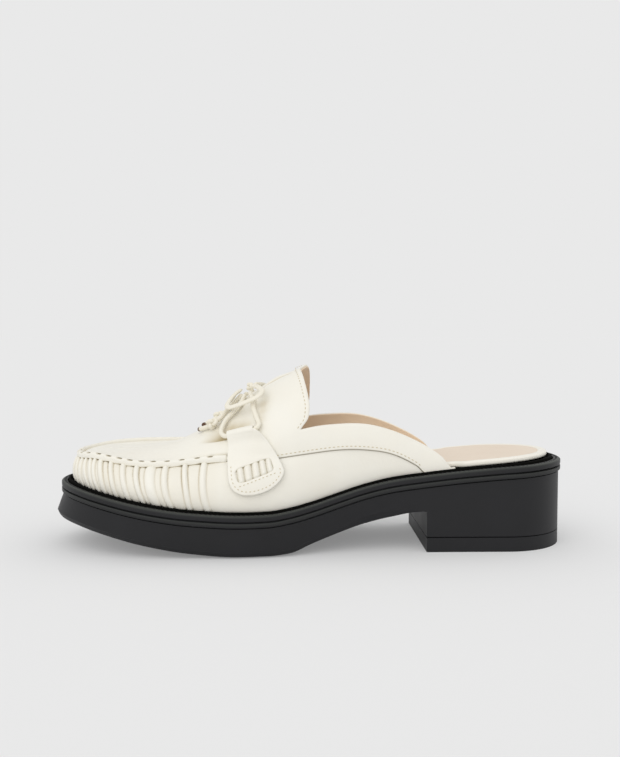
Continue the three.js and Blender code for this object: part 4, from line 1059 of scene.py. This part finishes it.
def ridge_grid(sides=24):
    """Superellipse section carried along the seam: dents in its inner upper edge, a lower edge that rides
    up over the pleats, drawn in at both ends. Returns the grid and the shade in its dents and under it."""
    turn = np.linspace(0, 2 * math.pi, sides + 1)
    inner, level = signed_power(np.cos(turn), SECTION_POWER), signed_power(np.sin(turn), SECTION_POWER)
    near_side = smooth(-6 * MM, 2 * MM, seam_run)[:, None]
    dent = near(STITCHES, STITCH_LENGTH / 2, 6)[:, None] * mix(0.12, 1.0, near_side)
    ridden = near(PLEATS["at"] * MM, PLEAT_REACH)[:, None] * (level < 0)
    width = RIDGE_WIDTH / 2 * (0.98 + 0 * turn)
    height = RIDGE_HEIGHT * 0.9 * (1 - 0.3 * dent * smooth(0, 0.6, level) - 0.27 * ridden)
    to_end = np.minimum(seam_run - seam_run[0], seam_run[-1] - seam_run)
    drawn = mix(0.4, 1, smooth(0.8 * MM, SEAM_TUCK, to_end))[:, None, None]
    section = seam_across[:, None] * (width * inner)[..., None]
    section = section + seam_up[:, None] * (height * level)[..., None]
    under = smooth(-0.62, -0.95, level) * smooth(0.9, 0.2, inner)
    shade = np.clip(under + 0.5 * dent * smooth(0.75, 1, level), 0, 1)
    return seam_middle[:, None] + section * drawn, shade


grid, shade = ridge_grid()
ends = [np.stack([np.broadcast_to(ring.mean(0), ring.shape), ring]) for ring in (grid[0], grid[-1])]
places, quads, first = weld([grid, ends[0], ends[1][:, ::-1]])
shade = np.concatenate([shade.reshape(-1), np.zeros(ends[0].shape[1] * 4)])[first]
add_piece("raised_seam", places, turned_out(places, quads), calf, "cream_leather", (),
          {"crease_and_shade": shade, "gap_shade": shade * 0.6}, sharp=60)

# %% [markdown]
# Stitches are small, so one rounded grain of thread is modelled and copied along each line by its arrays. A
# row is given by its line, the direction away from the leather, the pitch and the length of a stitch.
# %% Stitches
MACHINE_STITCH = {"pitch": 2.2 * MM, "length": 1.3 * MM, "radius": 0.19 * MM}
TAB_STITCH = {"pitch": 2.0 * MM, "length": 1.0 * MM, "radius": 0.18 * MM}
BAND_MARGIN, TONGUE_MARGIN = 1.5 * MM, 1.8 * MM


def grain(sides=8, rings=6):
    """Rounded grain of unit length and radius: a circle carried along, its radius a low power of a
    parabola."""
    t = np.linspace(-0.5, 0.5, rings + 1)
    radius = (1 - (2 * t) ** 2).clip(0) ** 0.45
    radius, turn = radius[:, None], np.linspace(0, 2 * math.pi, sides + 1)
    return np.stack([t[:, None] + 0 * turn, radius * np.cos(turn), radius * np.sin(turn)], -1)


GRAIN_PLACES, GRAIN_QUADS, _ = weld([grain() * MM])
GRAIN_PLACES = GRAIN_PLACES / MM
GRAIN_QUADS = turned_out(GRAIN_PLACES, GRAIN_QUADS)


def stitch_row(line, away, pitch, length, radius, rise=0.4, least=2, slant=0.0):
    """Grains at even distances along a line, their middles rise radii above it, turned by the slant."""
    count = max(least, int(round(length_of(line) / pitch)))
    run = run_of(line)
    at = (np.arange(count) + 0.5) / count * length_of(line)
    along = unit(read_along(run, line, at + length / 2) - read_along(run, line, at - length / 2))
    out = read_along(run, away, at)
    out = unit(out - along * (out * along).sum(1, keepdims=True))
    side_way = np.cross(out, along)
    cosine, sine = math.cos(slant), math.sin(slant)
    along, side_way = along * cosine + side_way * sine, side_way * cosine - along * sine
    points = (along[:, None] * (GRAIN_PLACES[:, 0] * length)[None, :, None]
              + side_way[:, None] * (GRAIN_PLACES[:, 1] * radius)[None, :, None]
              + out[:, None] * (GRAIN_PLACES[:, 2] * radius * 0.8 + radius * rise)[None, :, None])
    points = read_along(run, line, at)[:, None] + points
    faces = GRAIN_QUADS[None] + (np.arange(count) * len(GRAIN_PLACES))[:, None, None]
    return points.reshape(-1, 3), faces.reshape(-1, 4)


def sew(name, rows, material=thread):
    """Joins rows of stitches into one piece."""
    starts = np.cumsum([0] + [len(points) for points, _ in rows])
    points = np.concatenate([points for points, _ in rows])
    faces = np.concatenate([faces + start for (_, faces), start in zip(rows, starts)])
    return add_piece(name, points, faces, material, "cream_leather")


def leather_row(side, surface, x, other):
    """Machine stitches on the leather, along a line of a surface of two parameters lifted along its
    normal."""
    step = 0.02 * MM
    along = surface(side, x + step, other) - surface(side, x - step, other)
    rising = surface(side, x, other + 1e-3) - surface(side, x, other - 1e-3)
    normal = unit(np.cross(along, rising)) * -SIDES[side]
    return stitch_row(surface(side, x, other) + normal * BAND_STEP, normal, **MACHINE_STITCH)


def band_surface(side, x, r):
    """Point of the collar band from the tab to its end, share r of the way up from the seam to the
    topline."""
    angle = np.arcsin(np.clip(r * math.sin(throat_angle(side)), -1, 1))
    return np.where((x < THROAT_X)[:, None], crown_at(side, x, angle), band_at(side, x, r))


band_rows, tongue_rows = [], []
for side in SIDES:
    x = np.linspace(TOE + TAB_FRONT + TAB_WIDTH - 4 * MM, SEAM_END - 3 * MM, 200)
    share_up = BAND_MARGIN / np.maximum(collar_height(x) - seam_height(side, x), 4 * MM)
    band_rows.append(leather_row(side, band_surface, x, share_up))
    angles = np.linspace(throat_angle(side) + 0.02, QUARTER_TURN, 120)
    tongue_rows.append(leather_row(side, crown_at, tongue_end(side, angles) - TONGUE_MARGIN, angles))
sew("band_stitches", band_rows)
sew("tongue_stitches", tongue_rows)

# %% [markdown]
# Hand stitches of thick thread hold the raised seam, one in each dent. On the near side they lie on top of
# it, and on the far side at the foot of its inner edge, where less light makes them look finer. Their thread
# is painted darker than the machine thread, as the shade in the dents, darkest on the near side.
# %% Hand stitches of the raised seam
TOP_LIFT, FOOT_DROP = 1.42 * MM, 0.35 * MM
on_top = seam_middle + seam_across * RIDGE_WIDTH * 0.1 + seam_up * TOP_LIFT
at_foot = seam_middle + seam_across * RIDGE_WIDTH * 0.52 - seam_up * FOOT_DROP
# Thread tones hold painted shade: dark olive on the near side, lighter on the far side.
HAND_STITCHES = (("lateral", on_top, STITCHES, 0.38 * MM, ("#8A8064", "#6E654C")),
                 ("medial", at_foot, -STITCHES, 0.26 * MM, ("#BDB492", "#A89E7A")))
for name, line, runs, radius, tones in HAND_STITCHES:
    away = seam_across * 0.5 + seam_up
    beside = [np.abs(seam_run - at) < STITCH_LENGTH * 0.6 for at in runs]
    rows = [stitch_row(line[here], away[here], STITCH_LENGTH * 9, STITCH_LENGTH, radius, rise=0.0, least=1)
            for here in beside]
    sew(f"hand_stitches_{name}", rows, plain(f"shaded_seam_thread_{name}", *tones, 0.7, 0.4 * MM))

# %% [markdown]
# A saddle tab crosses each side of the vamp. It is folded over the lace at its top, has a slanting window
# with gathered leather behind it, and a row of stitches round its lower end. Its sheet is a height field
# over the X-Z plane, drawn smooth over the step of the seam beneath.
# %% Form under the tabs
FIELD_X = np.linspace(TOE + 84 * MM, TOE + 126 * MM, 141)
FIELD_Z = np.linspace(26 * MM, 66 * MM, 141)
COARSE_BLUR, FINE_BLUR = 7, 3  # steps of the grid
SINK = 0.15 * MM


def form_y(side, x, z):
    """Distance out to the upper at x and height z, found by halving between the foot of the wall and the
    crest."""
    def places_at(level):
        wall = wall_at(side, x, np.clip(level, 0, 1))
        crown = crown_at(side, x, QUARTER_TURN * np.clip(level - 1, 0, 1))
        return np.where((level < 1)[..., None], wall, crown)

    low, high = np.zeros_like(x), np.full_like(x, 2.0)
    for _ in range(34):
        middle = (low + high) / 2
        height = places_at(middle)[..., 2]
        low, high = np.where(height < z, middle, low), np.where(height < z, high, middle)
    return places_at(low)[..., 1]


def blurred(field, width):
    """Gaussian blur along both axes, by sums over shifted copies."""
    reach = np.arange(-width * 3, width * 3 + 1)
    weights = np.exp(-(reach / width) ** 2 / 2)
    weights /= weights.sum()
    for axis in (0, 1):
        padded = np.pad(field, [(width * 3, width * 3) if k == axis else (0, 0) for k in (0, 1)], mode="edge")
        index = np.arange(field.shape[axis])
        field = sum(w * np.take(padded, index + k, axis) for k, w in enumerate(weights))
    return field


def calm_form(side):
    """Form of the upper with its step blurred away, nowhere sunk into the leather by more than a hair."""
    x, z = np.meshgrid(FIELD_X, FIELD_Z, indexing="ij")
    raw = form_y(side, x, z) * SIDES[side]
    return blurred(np.maximum(blurred(raw, COARSE_BLUR), raw - SINK), FINE_BLUR)


FIELDS = {side: calm_form(side) for side in SIDES}
print("tab form", FIELDS["lateral"].shape)


def field_point(side, x, z, lift):
    """Point over the calm form, read between its four nearest grid points, and its normal from the two
    slopes."""
    u = np.clip((x - FIELD_X[0]) / (FIELD_X[1] - FIELD_X[0]), 0, len(FIELD_X) - 1.001)
    v = np.clip((z - FIELD_Z[0]) / (FIELD_Z[1] - FIELD_Z[0]), 0, len(FIELD_Z) - 1.001)
    i, j = u.astype(int), v.astype(int)
    fu, fv = u - i, v - j

    def sample(field):
        return (field[i, j] * (1 - fu) * (1 - fv) + field[i + 1, j] * fu * (1 - fv)
                + field[i, j + 1] * (1 - fu) * fv + field[i + 1, j + 1] * fu * fv)

    slope_x, slope_z = np.gradient(FIELDS[side], FIELD_X, FIELD_Z)
    normal = unit(np.stack([-sample(slope_x), np.ones_like(x), -sample(slope_z)], -1)) * (1, SIDES[side], 1)
    place = np.stack([x, SIDES[side] * sample(FIELDS[side]), z], -1)
    return place + normal * np.broadcast_to(lift, x.shape)[..., None], normal


# %% [markdown]
# The outline of a tab is straight in front, round below and drawn in towards the fold behind. Rays from the
# middle of the window join the window's edge to the outline, and a grid between the two leaves the window
# open.
# %% Tabs
TAB_X = TOE + TAB_FRONT
TAB_Z = FOREFOOT_HEIGHT + TAB_FOOT
TAB_FACE = TAB_INNER + TAB_THICKNESS
WINDOW_LENGTH = 18.2 * MM
WINDOW_HEIGHT = 6.4 * MM
WINDOW_TURN = math.radians(19.5)
WINDOW_CORNER = np.array([TAB_X + 6.2 * MM, TAB_Z + 4.9 * MM])
WINDOW_SQUARENESS = 5
FOLD_START = 0.12
FOLD_BLEND = 3.4 * MM
EDGE_ROUND, HOLE_ROUND, EDGE_CORE = 0.7 * MM, 1.0 * MM, 0.9 * MM
# Shares of the tab's width and height: down the front edge, round the low end, and the pull of the back edge.
TAB_POINTS = ((0.02, 0.5), (0.043, 0.24), (0.07, 0.07), (0.2, 0), (0.37, 0), (0.7, 0.005), (0.97, 0.17),
              (1, 0.36), (0.75, 0.92))


def from_window(along, up):
    """Window millimetres to X and Z."""
    cosine, sine = math.cos(WINDOW_TURN), math.sin(WINDOW_TURN)
    return WINDOW_CORNER[0] + along * cosine - up * sine, WINDOW_CORNER[1] + along * sine + up * cosine


WINDOW_MIDDLE = np.array(from_window(WINDOW_LENGTH / 2, WINDOW_HEIGHT / 2))


def bezier(points, steps):
    """Bezier curve of three or four points."""
    t = np.linspace(0, 1, steps, endpoint=False)[:, None]
    points = [np.array(p, float) for p in points]
    while len(points) > 1:
        points = [a + (b - a) * t for a, b in zip(points, points[1:])]
    return points[0]


def tab_outline(side):
    """Closed outline in X and Z: front edge, round lower end, drawn-in back edge and the fold line on top."""
    t = np.linspace(1, FOLD_START, 40)
    x = TAB_X + FOLD_WIDTH * t
    top = np.stack([x, crown_at(side, x, QUARTER_TURN * fold_up(t))[:, 2]], -1)
    p = [(TAB_X + TAB_WIDTH * along, TAB_Z + TAB_HEIGHT * up) for along, up in TAB_POINTS]
    edges = ((top[-1], p[0]), p[0:2], p[1:5], p[4:8], (p[7], p[8], top[0]))
    curves = [bezier(edge, steps) for edge, steps in zip(edges, (30, 20, 40, 40, 60))]
    return np.concatenate([*curves, top[:-1]])


def ray_to_window(points):
    """Where the ray from the window's middle to each point crosses the window's rounded edge."""
    cosine, sine = math.cos(WINDOW_TURN), math.sin(WINDOW_TURN)
    away = points - WINDOW_MIDDLE
    u = np.abs(away[:, 0] * cosine + away[:, 1] * sine) / (WINDOW_LENGTH / 2)
    v = np.abs(-away[:, 0] * sine + away[:, 1] * cosine) / (WINDOW_HEIGHT / 2)
    size = (u ** WINDOW_SQUARENESS + v ** WINDOW_SQUARENESS) ** (1 / WINDOW_SQUARENESS)
    return WINDOW_MIDDLE + away / size[:, None]


def tab_grid(side):
    """Grid from the window's edge to the outline in X and Z, evenly round the outline, and the outline."""
    outline = tab_outline(side)
    outer = evenly(np.concatenate([outline, outline[:1]]), 300)
    inner = ray_to_window(outer)
    r = np.sin(np.linspace(0, QUARTER_TURN, 21))
    return inner[:, None] + (outer - inner)[:, None] * r[None, :, None], outer


def fold_swell(side, x, z):
    """Swelling of the outer face towards the fold: a circle round the lace, blended into the flat sheet."""
    t = np.clip((x - TAB_X) / FOLD_WIDTH, 0, 1)
    fold_z = crown_at(side, TAB_X + FOLD_WIDTH * t, QUARTER_TURN * fold_up(t))[..., 2]
    below = np.clip(fold_z - z, 0, None) * 1.25
    ball = FOLD_LIFT + np.sqrt(np.clip(FOLD_RADIUS ** 2 - below ** 2, 0, None))
    far = TAB_FACE + (FOLD_LIFT + FOLD_RADIUS - TAB_FACE) * bell(below, FOLD_BLEND)
    return np.maximum(far, np.where(below < FOLD_RADIUS * 0.75, ball, 0))


def rounding(away, size):
    """Quarter circle over a distance from an edge."""
    return np.sqrt(1 - (1 - np.clip(away / size, 0, 1)) ** 2)


def add_tab(side, grid):
    """Saddle tab: a sheet with rounded edges on the calm form, and its folded top, a tube round the lace."""
    base, normal = field_point(side, grid[..., 0], grid[..., 1], 0.0)
    outer = fold_swell(side, grid[..., 0], grid[..., 1])
    from_edge = np.linalg.norm(grid - grid[:, -1:], axis=-1)
    from_hole = np.linalg.norm(grid - grid[:, :1], axis=-1)
    near_fold = smooth(4 * MM, 0, np.abs(outer - FOLD_LIFT - FOLD_RADIUS))
    soft = np.minimum(mix(rounding(from_edge, EDGE_ROUND), 1, near_fold), rounding(from_hole, HOLE_ROUND))
    core = TAB_INNER + EDGE_CORE
    outer = core + (outer - core) * mix(0.55, 1, soft)
    top = base + normal * outer[..., None]
    sheet = np.concatenate([top, (base + normal * TAB_INNER)[:, ::-1], top[:, :1]], 1)
    fold_path = fold_line(side, np.linspace(FOLD_START, 1, 40))
    roll, bore = (tube(fold_path, radius, 24, caps=False) for radius in (FOLD_RADIUS, LACE / 2 + CLEARANCE))
    ring = [roll, bore[:, ::-1], np.stack([bore[0], roll[0]]), np.stack([roll[-1], bore[-1]])]
    bodies = [weld(grids)[:2] for grids in ([sheet], ring)]
    (places, quads), (ring_places, ring_quads) = [(body, turned_out(body, faces)) for body, faces in bodies]
    quads = np.concatenate([quads, ring_quads + len(places)])
    places = np.concatenate([places, ring_places])
    add_piece(f"saddle_tab_{side}", places, quads, calf, "cream_leather", [f"tab_{side}"],
              {"crease_and_shade": np.zeros(len(places))}, sharp=50)


# %% [markdown]
# Behind each window lies leather gathered into five ribs, a little wider than the window, with shade painted
# dark in the gaps, most where the ribs meet the window's long edges. Machine stitches follow the tab's lower
# end and the window's lower edge.
# %% Gathered windows and stitches of the tabs
WINDOW_PLEATS = 5
INSERT_LAP = 1.2 * MM
INSERT_BACK, INSERT_FRONT, RIB_FOOT, RIB_RISE = 0.9 * MM, 1.0 * MM, 0.4 * MM, 1.85 * MM
LOW_END = 13 * MM
LOW_MARGIN, WINDOW_MARGIN, ROW_OVERRUN = 1.7 * MM, 1.1 * MM, 0.6 * MM
RIB_DRIFT = {"lateral": 0.0, "medial": 1.0}


def add_insert(side):
    """Sheet of sine ribs behind the window, with shade painted dark in the gaps between them."""
    along, up = np.meshgrid(np.linspace(-INSERT_LAP, WINDOW_LENGTH + INSERT_LAP, 121),
                            np.linspace(-INSERT_LAP, WINDOW_HEIGHT + INSERT_LAP, 41), indexing="ij")
    x, z = from_window(along, up)
    to_edge = np.minimum.reduce([along, WINDOW_LENGTH - along, up, WINDOW_HEIGHT - up])
    inside = smooth(-1.1 * MM, 0.8 * MM, to_edge)
    level = up / WINDOW_HEIGHT
    drift = 0.07 * np.sin(along * 420 + RIB_DRIFT[side])
    rib = np.abs(np.sin(math.pi * (along / WINDOW_LENGTH * WINDOW_PLEATS + drift - 0.3 * level))) ** 0.6
    ends_of_gaps = 0.9 * bell(1 - level, 0.12) + 0.5 * bell(level, 0.1)
    shade = np.clip((1 - rib) ** 2 * (0.15 + ends_of_gaps), 0, 1)
    top, _ = field_point(side, x, z, INSERT_FRONT + inside * (RIB_FOOT + RIB_RISE * rib))
    low, _ = field_point(side, x, z, INSERT_BACK)
    sheet = np.concatenate([top, low[:, ::-1], top[:, :1]], 1)
    ends = [np.stack([top[0], low[0]]), np.stack([low[-1], top[-1]])]
    places, quads, first = weld([sheet, *ends])
    shade = np.concatenate([shade, shade[:, ::-1], shade[:, :1]], 1).reshape(-1)
    shade = np.concatenate([shade, np.zeros(4 * top.shape[1])])[first]
    add_piece(f"gathered_insert_{side}", places, turned_out(places, quads), calf, "cream_leather",
              [f"tab_pleats_{side}"], {"crease_and_shade": shade, "gap_shade": shade * 0.7}, sharp=60)


def add_tab_stitches(side, outline):
    """One row inside the round lower end of the outline, one under the window."""
    low_end = outline[outline[:, 1] < TAB_Z + LOW_END]
    away = low_end - WINDOW_MIDDLE
    order = np.argsort(np.arctan2(away[:, 1] - 6 * MM, away[:, 0]))
    end_row = (low_end - unit(away) * LOW_MARGIN)[order]
    t = np.linspace(-ROW_OVERRUN, WINDOW_LENGTH + ROW_OVERRUN, 60)
    window_row = np.stack(from_window(t, -WINDOW_MARGIN + 0 * t), -1)
    lines = [field_point(side, row[:, 0], row[:, 1], TAB_FACE) for row in (end_row, window_row)]
    sew(f"tab_stitches_{side}", [stitch_row(line, away, **TAB_STITCH) for line, away in lines])


for side in SIDES:
    grid, outline = tab_grid(side)
    add_tab(side, grid)
    add_insert(side)
    add_tab_stitches(side, outline)

# %% [markdown]
# The sole unit is three mouldings: the plate with its heel block, the welt with two ribs, and the top lift
# under the heel. Each is lofted through plan levels whose ends are superellipses.
# %% Plans and lofts
def plan(toe_tip, heel_tip, inset):
    """Half width of the sole, an inset in from its edge, rounded at both tips."""
    def half(side, x):
        rounds = round_end(x - toe_tip, TOE_CURVE, TOE_SQUARENESS) * round_end(heel_tip - x, HEEL_CURVE, 2)
        return np.maximum(body_half_width(side, x) - inset(x), 0) * rounds
    return half


def between(start, end, count=180):
    """Stations between two tips, close together at both."""
    return start + (end - start) * (1 - np.cos(np.linspace(0, math.pi, count + 1))) / 2


def level_of(x, half, height):
    """Closed level: out along the lateral edge and back along the medial one."""
    lateral, medial = (np.stack([x, SIDES[side] * half(side, x), height], -1) for side in SIDES)
    return np.concatenate([lateral, medial[::-1]])


def welt_level(inset, height, count=180):
    """Level of the welt, an inset in from its edge, at a height that is a function of the station."""
    toe_tip, heel_tip = WELT_TOE + inset * TOE_INSET_FACTOR, HEEL - inset * HEEL_INSET_FACTOR
    x = between(toe_tip, heel_tip, count)
    return level_of(x, plan(toe_tip, heel_tip, lambda v: inset), height(x))


def loft(levels, lid=10, tints=()):
    """Body through closed levels, each lid a grid across its level from one edge to the other. Each tint
    holds one value a level."""
    wall = np.stack(levels)
    grids = [np.concatenate([wall, wall[:, :1]], 1)]
    t = np.linspace(0, 1, lid + 1)[:, None, None]
    for level, turn in ((levels[0], 1), (levels[-1], -1)):
        lateral, medial = level[:len(level) // 2], level[len(level) // 2:][::-1]
        grids.append((lateral[None] + (medial - lateral)[None] * t)[::turn])
    places, quads, first = weld(grids)
    carried = []
    for tint in tints:
        lids = [np.full(grids[k][..., 0].size, tint[end]) for k, end in ((1, 0), (2, -1))]
        carried.append(np.concatenate([np.repeat(tint, grids[0].shape[1]), *lids])[first])
    return places, turned_out(places, quads), *carried


# %% [markdown]
# The welt is made of fine levels, so that its ribs come out round. Its channel, where it meets the upper,
# lies in shade, so those faces get a darker rubber that hardly reflects: painted shade.
# %% Welt, sole and heel
FINE = np.linspace(0, 12, 73)
CHANNEL_START = 7.6  # row of the welt's table from which the shaded rubber is painted
UPPER_RIB, LOWER_RIB = (5.9, 0.75), (2, 0.6)  # row and reach of the painted highlight
EDGE_ROWS = table("at draft forward up", [
    (0, 1, 0.1, 0), (1, 0.42, 0.65, 0.25), (2, 0.12, 1, 1), (3, 0, 0, 1)])
HEEL_EDGE = 0.5 * MM
HEEL_SETBACK = 0.25 * MM

welt_levels = []
for row in FINE:
    inset, height, lip = (float(column(WELT_ROWS, name, row)) for name in ("inset", "height", "lip"))
    welt_levels.append(welt_level(
        FEATHER_INSET * inset, lambda x: welt_top(x) - WELT_HEIGHT * (1 - height) + LIP_HEIGHT * lip))
# Painted highlight on the rounding of the upper rib, fainter on the lower rib.
rib_highlight_level = bell(FINE - UPPER_RIB[0], UPPER_RIB[1]) + 0.4 * bell(FINE - LOWER_RIB[0], LOWER_RIB[1])
places, quads, channel, rib_highlight = loft(welt_levels, tints=[FINE, rib_highlight_level])
welt = add_piece("ribbed_welt", places, quads, moulded, "sole_rubber", ["welt"], {"rib_highlight": rib_highlight}, sharp=45)
welt.data.materials.append(shaded_channel_rubber)
for face in welt.data.polygons:
    face.material_index = int(channel[face.vertices[0]] > CHANNEL_START)


def sole_level(k, rise):
    """Level of the sole unit. The plate's toe leans forward, its lower edge is drawn in, and its height
    steps down to the top lift at the heel's breast, where one station stands twice. Rise goes from the edge
    up to the welt."""
    draft, forward, up = (float(column(EDGE_ROWS, name, k)) for name in ("draft", "forward", "up"))
    toe_tip = WELT_TOE + SOLE_EDGE_INSET - (WELT_TOE + SOLE_EDGE_INSET - TOE) * forward * (1 - rise)
    heel_tip = HEEL - SOLE_EDGE_INSET
    x = np.sort(np.concatenate([between(toe_tip, heel_tip), [BREAST, BREAST]]))
    behind = np.arange(len(x)) > np.searchsorted(x, BREAST)
    low = np.where(behind, HEEL_LIFT + CLEARANCE + HEEL_EDGE * k / 2, underside(x) + SOLE_EDGE_ROUND * up)
    height = mix(low, welt_top(x) - WELT_HEIGHT - CLEARANCE / 2, rise)
    drawn = SOLE_EDGE_INSET + SOLE_EDGE_DRAFT * draft * (1 - rise) * (1 - smooth(BREAST * 0.2, BREAST, x))
    drawn = drawn + behind * HEEL_SETBACK * (1 - k / 2) ** 2
    return level_of(x, plan(toe_tip, heel_tip, lambda v: drawn), height)


edge_levels = [sole_level(k, 0.0) for k in np.linspace(0, 2, 13)]
plate = edge_levels + [sole_level(2.0, rise) for rise in np.linspace(0, 1, 9)[1:]]
add_piece("sole_and_heel", *loft(plate, lid=24), moulded, "sole_rubber", ["outsole"], sharp=40)

heel_back = HEEL - SOLE_EDGE_INSET
x = BREAST + (heel_back - BREAST) * np.sin(np.linspace(0, QUARTER_TURN, 90))
heel_half = plan(TOE - TOE_CURVE, heel_back, lambda v: SOLE_EDGE_INSET)
lift_levels = [level_of(x, heel_half, HEEL_LIFT * t + 0 * x) for t in np.linspace(0, 1, 8)]
add_piece("heel_top_lift", *loft(lift_levels), moulded, "sole_rubber", ["heel_lift"], sharp=30)

# %% [markdown]
# The top of the welt's upper rib is moulded like a row of slanting stitches. They are grains of rubber,
# half sunk.
# %% Moulded stitches of the welt
WELT_STITCH = {"pitch": 2.3 * MM, "length": 2.3 * MM, "radius": 0.42 * MM, "rise": 0.1, "slant": 0.55}
ring = welt_level(FEATHER_INSET * 0.27, lambda x: welt_top(x) - 0.1 * MM, 400)
ring = np.concatenate([ring, ring[:1]])
up = np.broadcast_to((0.0, 0.0, 1.0), ring.shape)
points, faces = stitch_row(ring, up, **WELT_STITCH)
add_piece("welt_stitch_moulding", points, faces, moulded, "sole_rubber")

# %% [markdown]
# The insole board is wrapped in cream leather, and its rim shows behind the upper. A thin beige sock lies
# on it. Each rounded edge is a quarter circle of levels.
# %% Insole and sock
ROLL = 1.2 * MM
BEAD = 0.45 * MM
RAISED = 0.8 * MM
DISH = ((2.1, 0.46), (2.6, 0.32), (3.0, 0.08), (3.3, 0.0))  # inset and height in millimetres, inside the bead
SOCK_TOP = 0.32 * MM
SOCK_EDGE = 0.25 * MM


def insole_inset(x):
    """Inside the upper's wall in front, out at the rim behind it."""
    inside = FEATHER_INSET + UPPER_WALL + INSOLE_GAP
    return mix(inside, INSOLE_INSET, smooth(UPPER_END, UPPER_END + 6 * MM, x))


def insole_level(inset, height):
    """Level of the insole or the sock, an inset in from the board's edge, at a height over the welt."""
    toe_tip = WELT_TOE + (float(insole_inset(WELT_TOE)) + inset) * TOE_INSET_FACTOR
    heel_tip = HEEL - (INSOLE_INSET + inset) * HEEL_INSET_FACTOR
    x = between(toe_tip, heel_tip)
    return level_of(x, plan(toe_tip, heel_tip, lambda v: insole_inset(v) + inset), welt_top(x) + height)


board_top = CLEARANCE + INSOLE_THICKNESS
turn = np.linspace(0, QUARTER_TURN, 8)
quarter = [(1 - math.cos(a), 1 - math.sin(a)) for a in turn]
board = [insole_level(ROLL * s, CLEARANCE + RAISED + ROLL * c) for c, s in quarter]
board += [insole_level(ROLL * c, board_top + BEAD - ROLL * s) for c, s in quarter]
board += [insole_level(inset * MM, board_top + height * MM) for inset, height in DISH]
add_piece("wrapped_insole", *loft(board), calf, "cream_leather", ["insole"], sharp=60)
sock = [insole_level(SOCK_INSET, board_top + 0.02 * MM)]
sock += [insole_level(SOCK_INSET + SOCK_EDGE * c, board_top + SOCK_TOP - SOCK_EDGE * s) for c, s in quarter]
add_piece("sock_lining", *loft(sock, lid=30), sock_skin, "lining_leather", ["sock"], sharp=60)

# %% [markdown]
# The picture has one even pale grey behind, under and around the shoe, with only a soft shadow. So the
# floor is wide enough to meet the horizon, and it shines back as much light as the even sky over it sends,
# part of it its own, so that no edge shows between the two. Two very wide suns from the front and above
# shape the leather gently.
# %% Floor and light
GREY = 0.8148  # linear value of the backdrop's #E9E9E9
FLOOR_TONE = 0.62
FLOOR_REACH = 60.0
SUNS = (("key", (-0.5, -1.15, 0.95), 60, 0.8), ("top", (0.3, 0.3, 1.0), 50, 0.06))

falling = 0.0
for name, place, width, power in SUNS:
    sun = bpy.data.objects.new(name, bpy.data.lights.new(name, "SUN"))
    sun.data.angle = math.radians(width)
    sun.data.energy = power
    away = np.array(place) / np.linalg.norm(place)
    falling += power * away[2] / math.pi
    sun.rotation_euler = (math.acos(away[2]), 0, math.atan2(away[0], -away[1]))
    bpy.context.scene.collection.objects.link(sun)

own_light = GREY - FLOOR_TONE * (GREY + falling)
paper, _, paper_shader = new_material("matt_studio_paper")
paper_values = {
    "Base Color": (FLOOR_TONE, FLOOR_TONE, FLOOR_TONE, 1), "Roughness": 1.0, "Specular IOR Level": 0.0,
    "Emission Color": (1, 1, 1, 1), "Emission Strength": own_light}
for key, value in paper_values.items():
    paper_shader.inputs[key].default_value = value
print("floor gives", round(own_light, 3), "of its own light")

corners = [(x * FLOOR_REACH, y * FLOOR_REACH, 0) for x, y in ((-1, -1), (1, -1), (1, 1), (-1, 1))]
mesh = bpy.data.meshes.new("studio_floor")
mesh.from_pydata(corners, [], [(0, 1, 2, 3)])
mesh.materials.append(paper)
floor = bpy.data.objects.new("studio_floor", mesh)
bpy.context.scene.collection.objects.link(floor)

world = bpy.data.worlds.new("studio")
bpy.context.scene.world = world
world.use_nodes = True
sky = world.node_tree.nodes["Background"]
sky.inputs["Color"].default_value = (1, 1, 1, 1)
sky.inputs["Strength"].default_value = GREY
bpy.context.scene.view_settings.view_transform = "Standard"
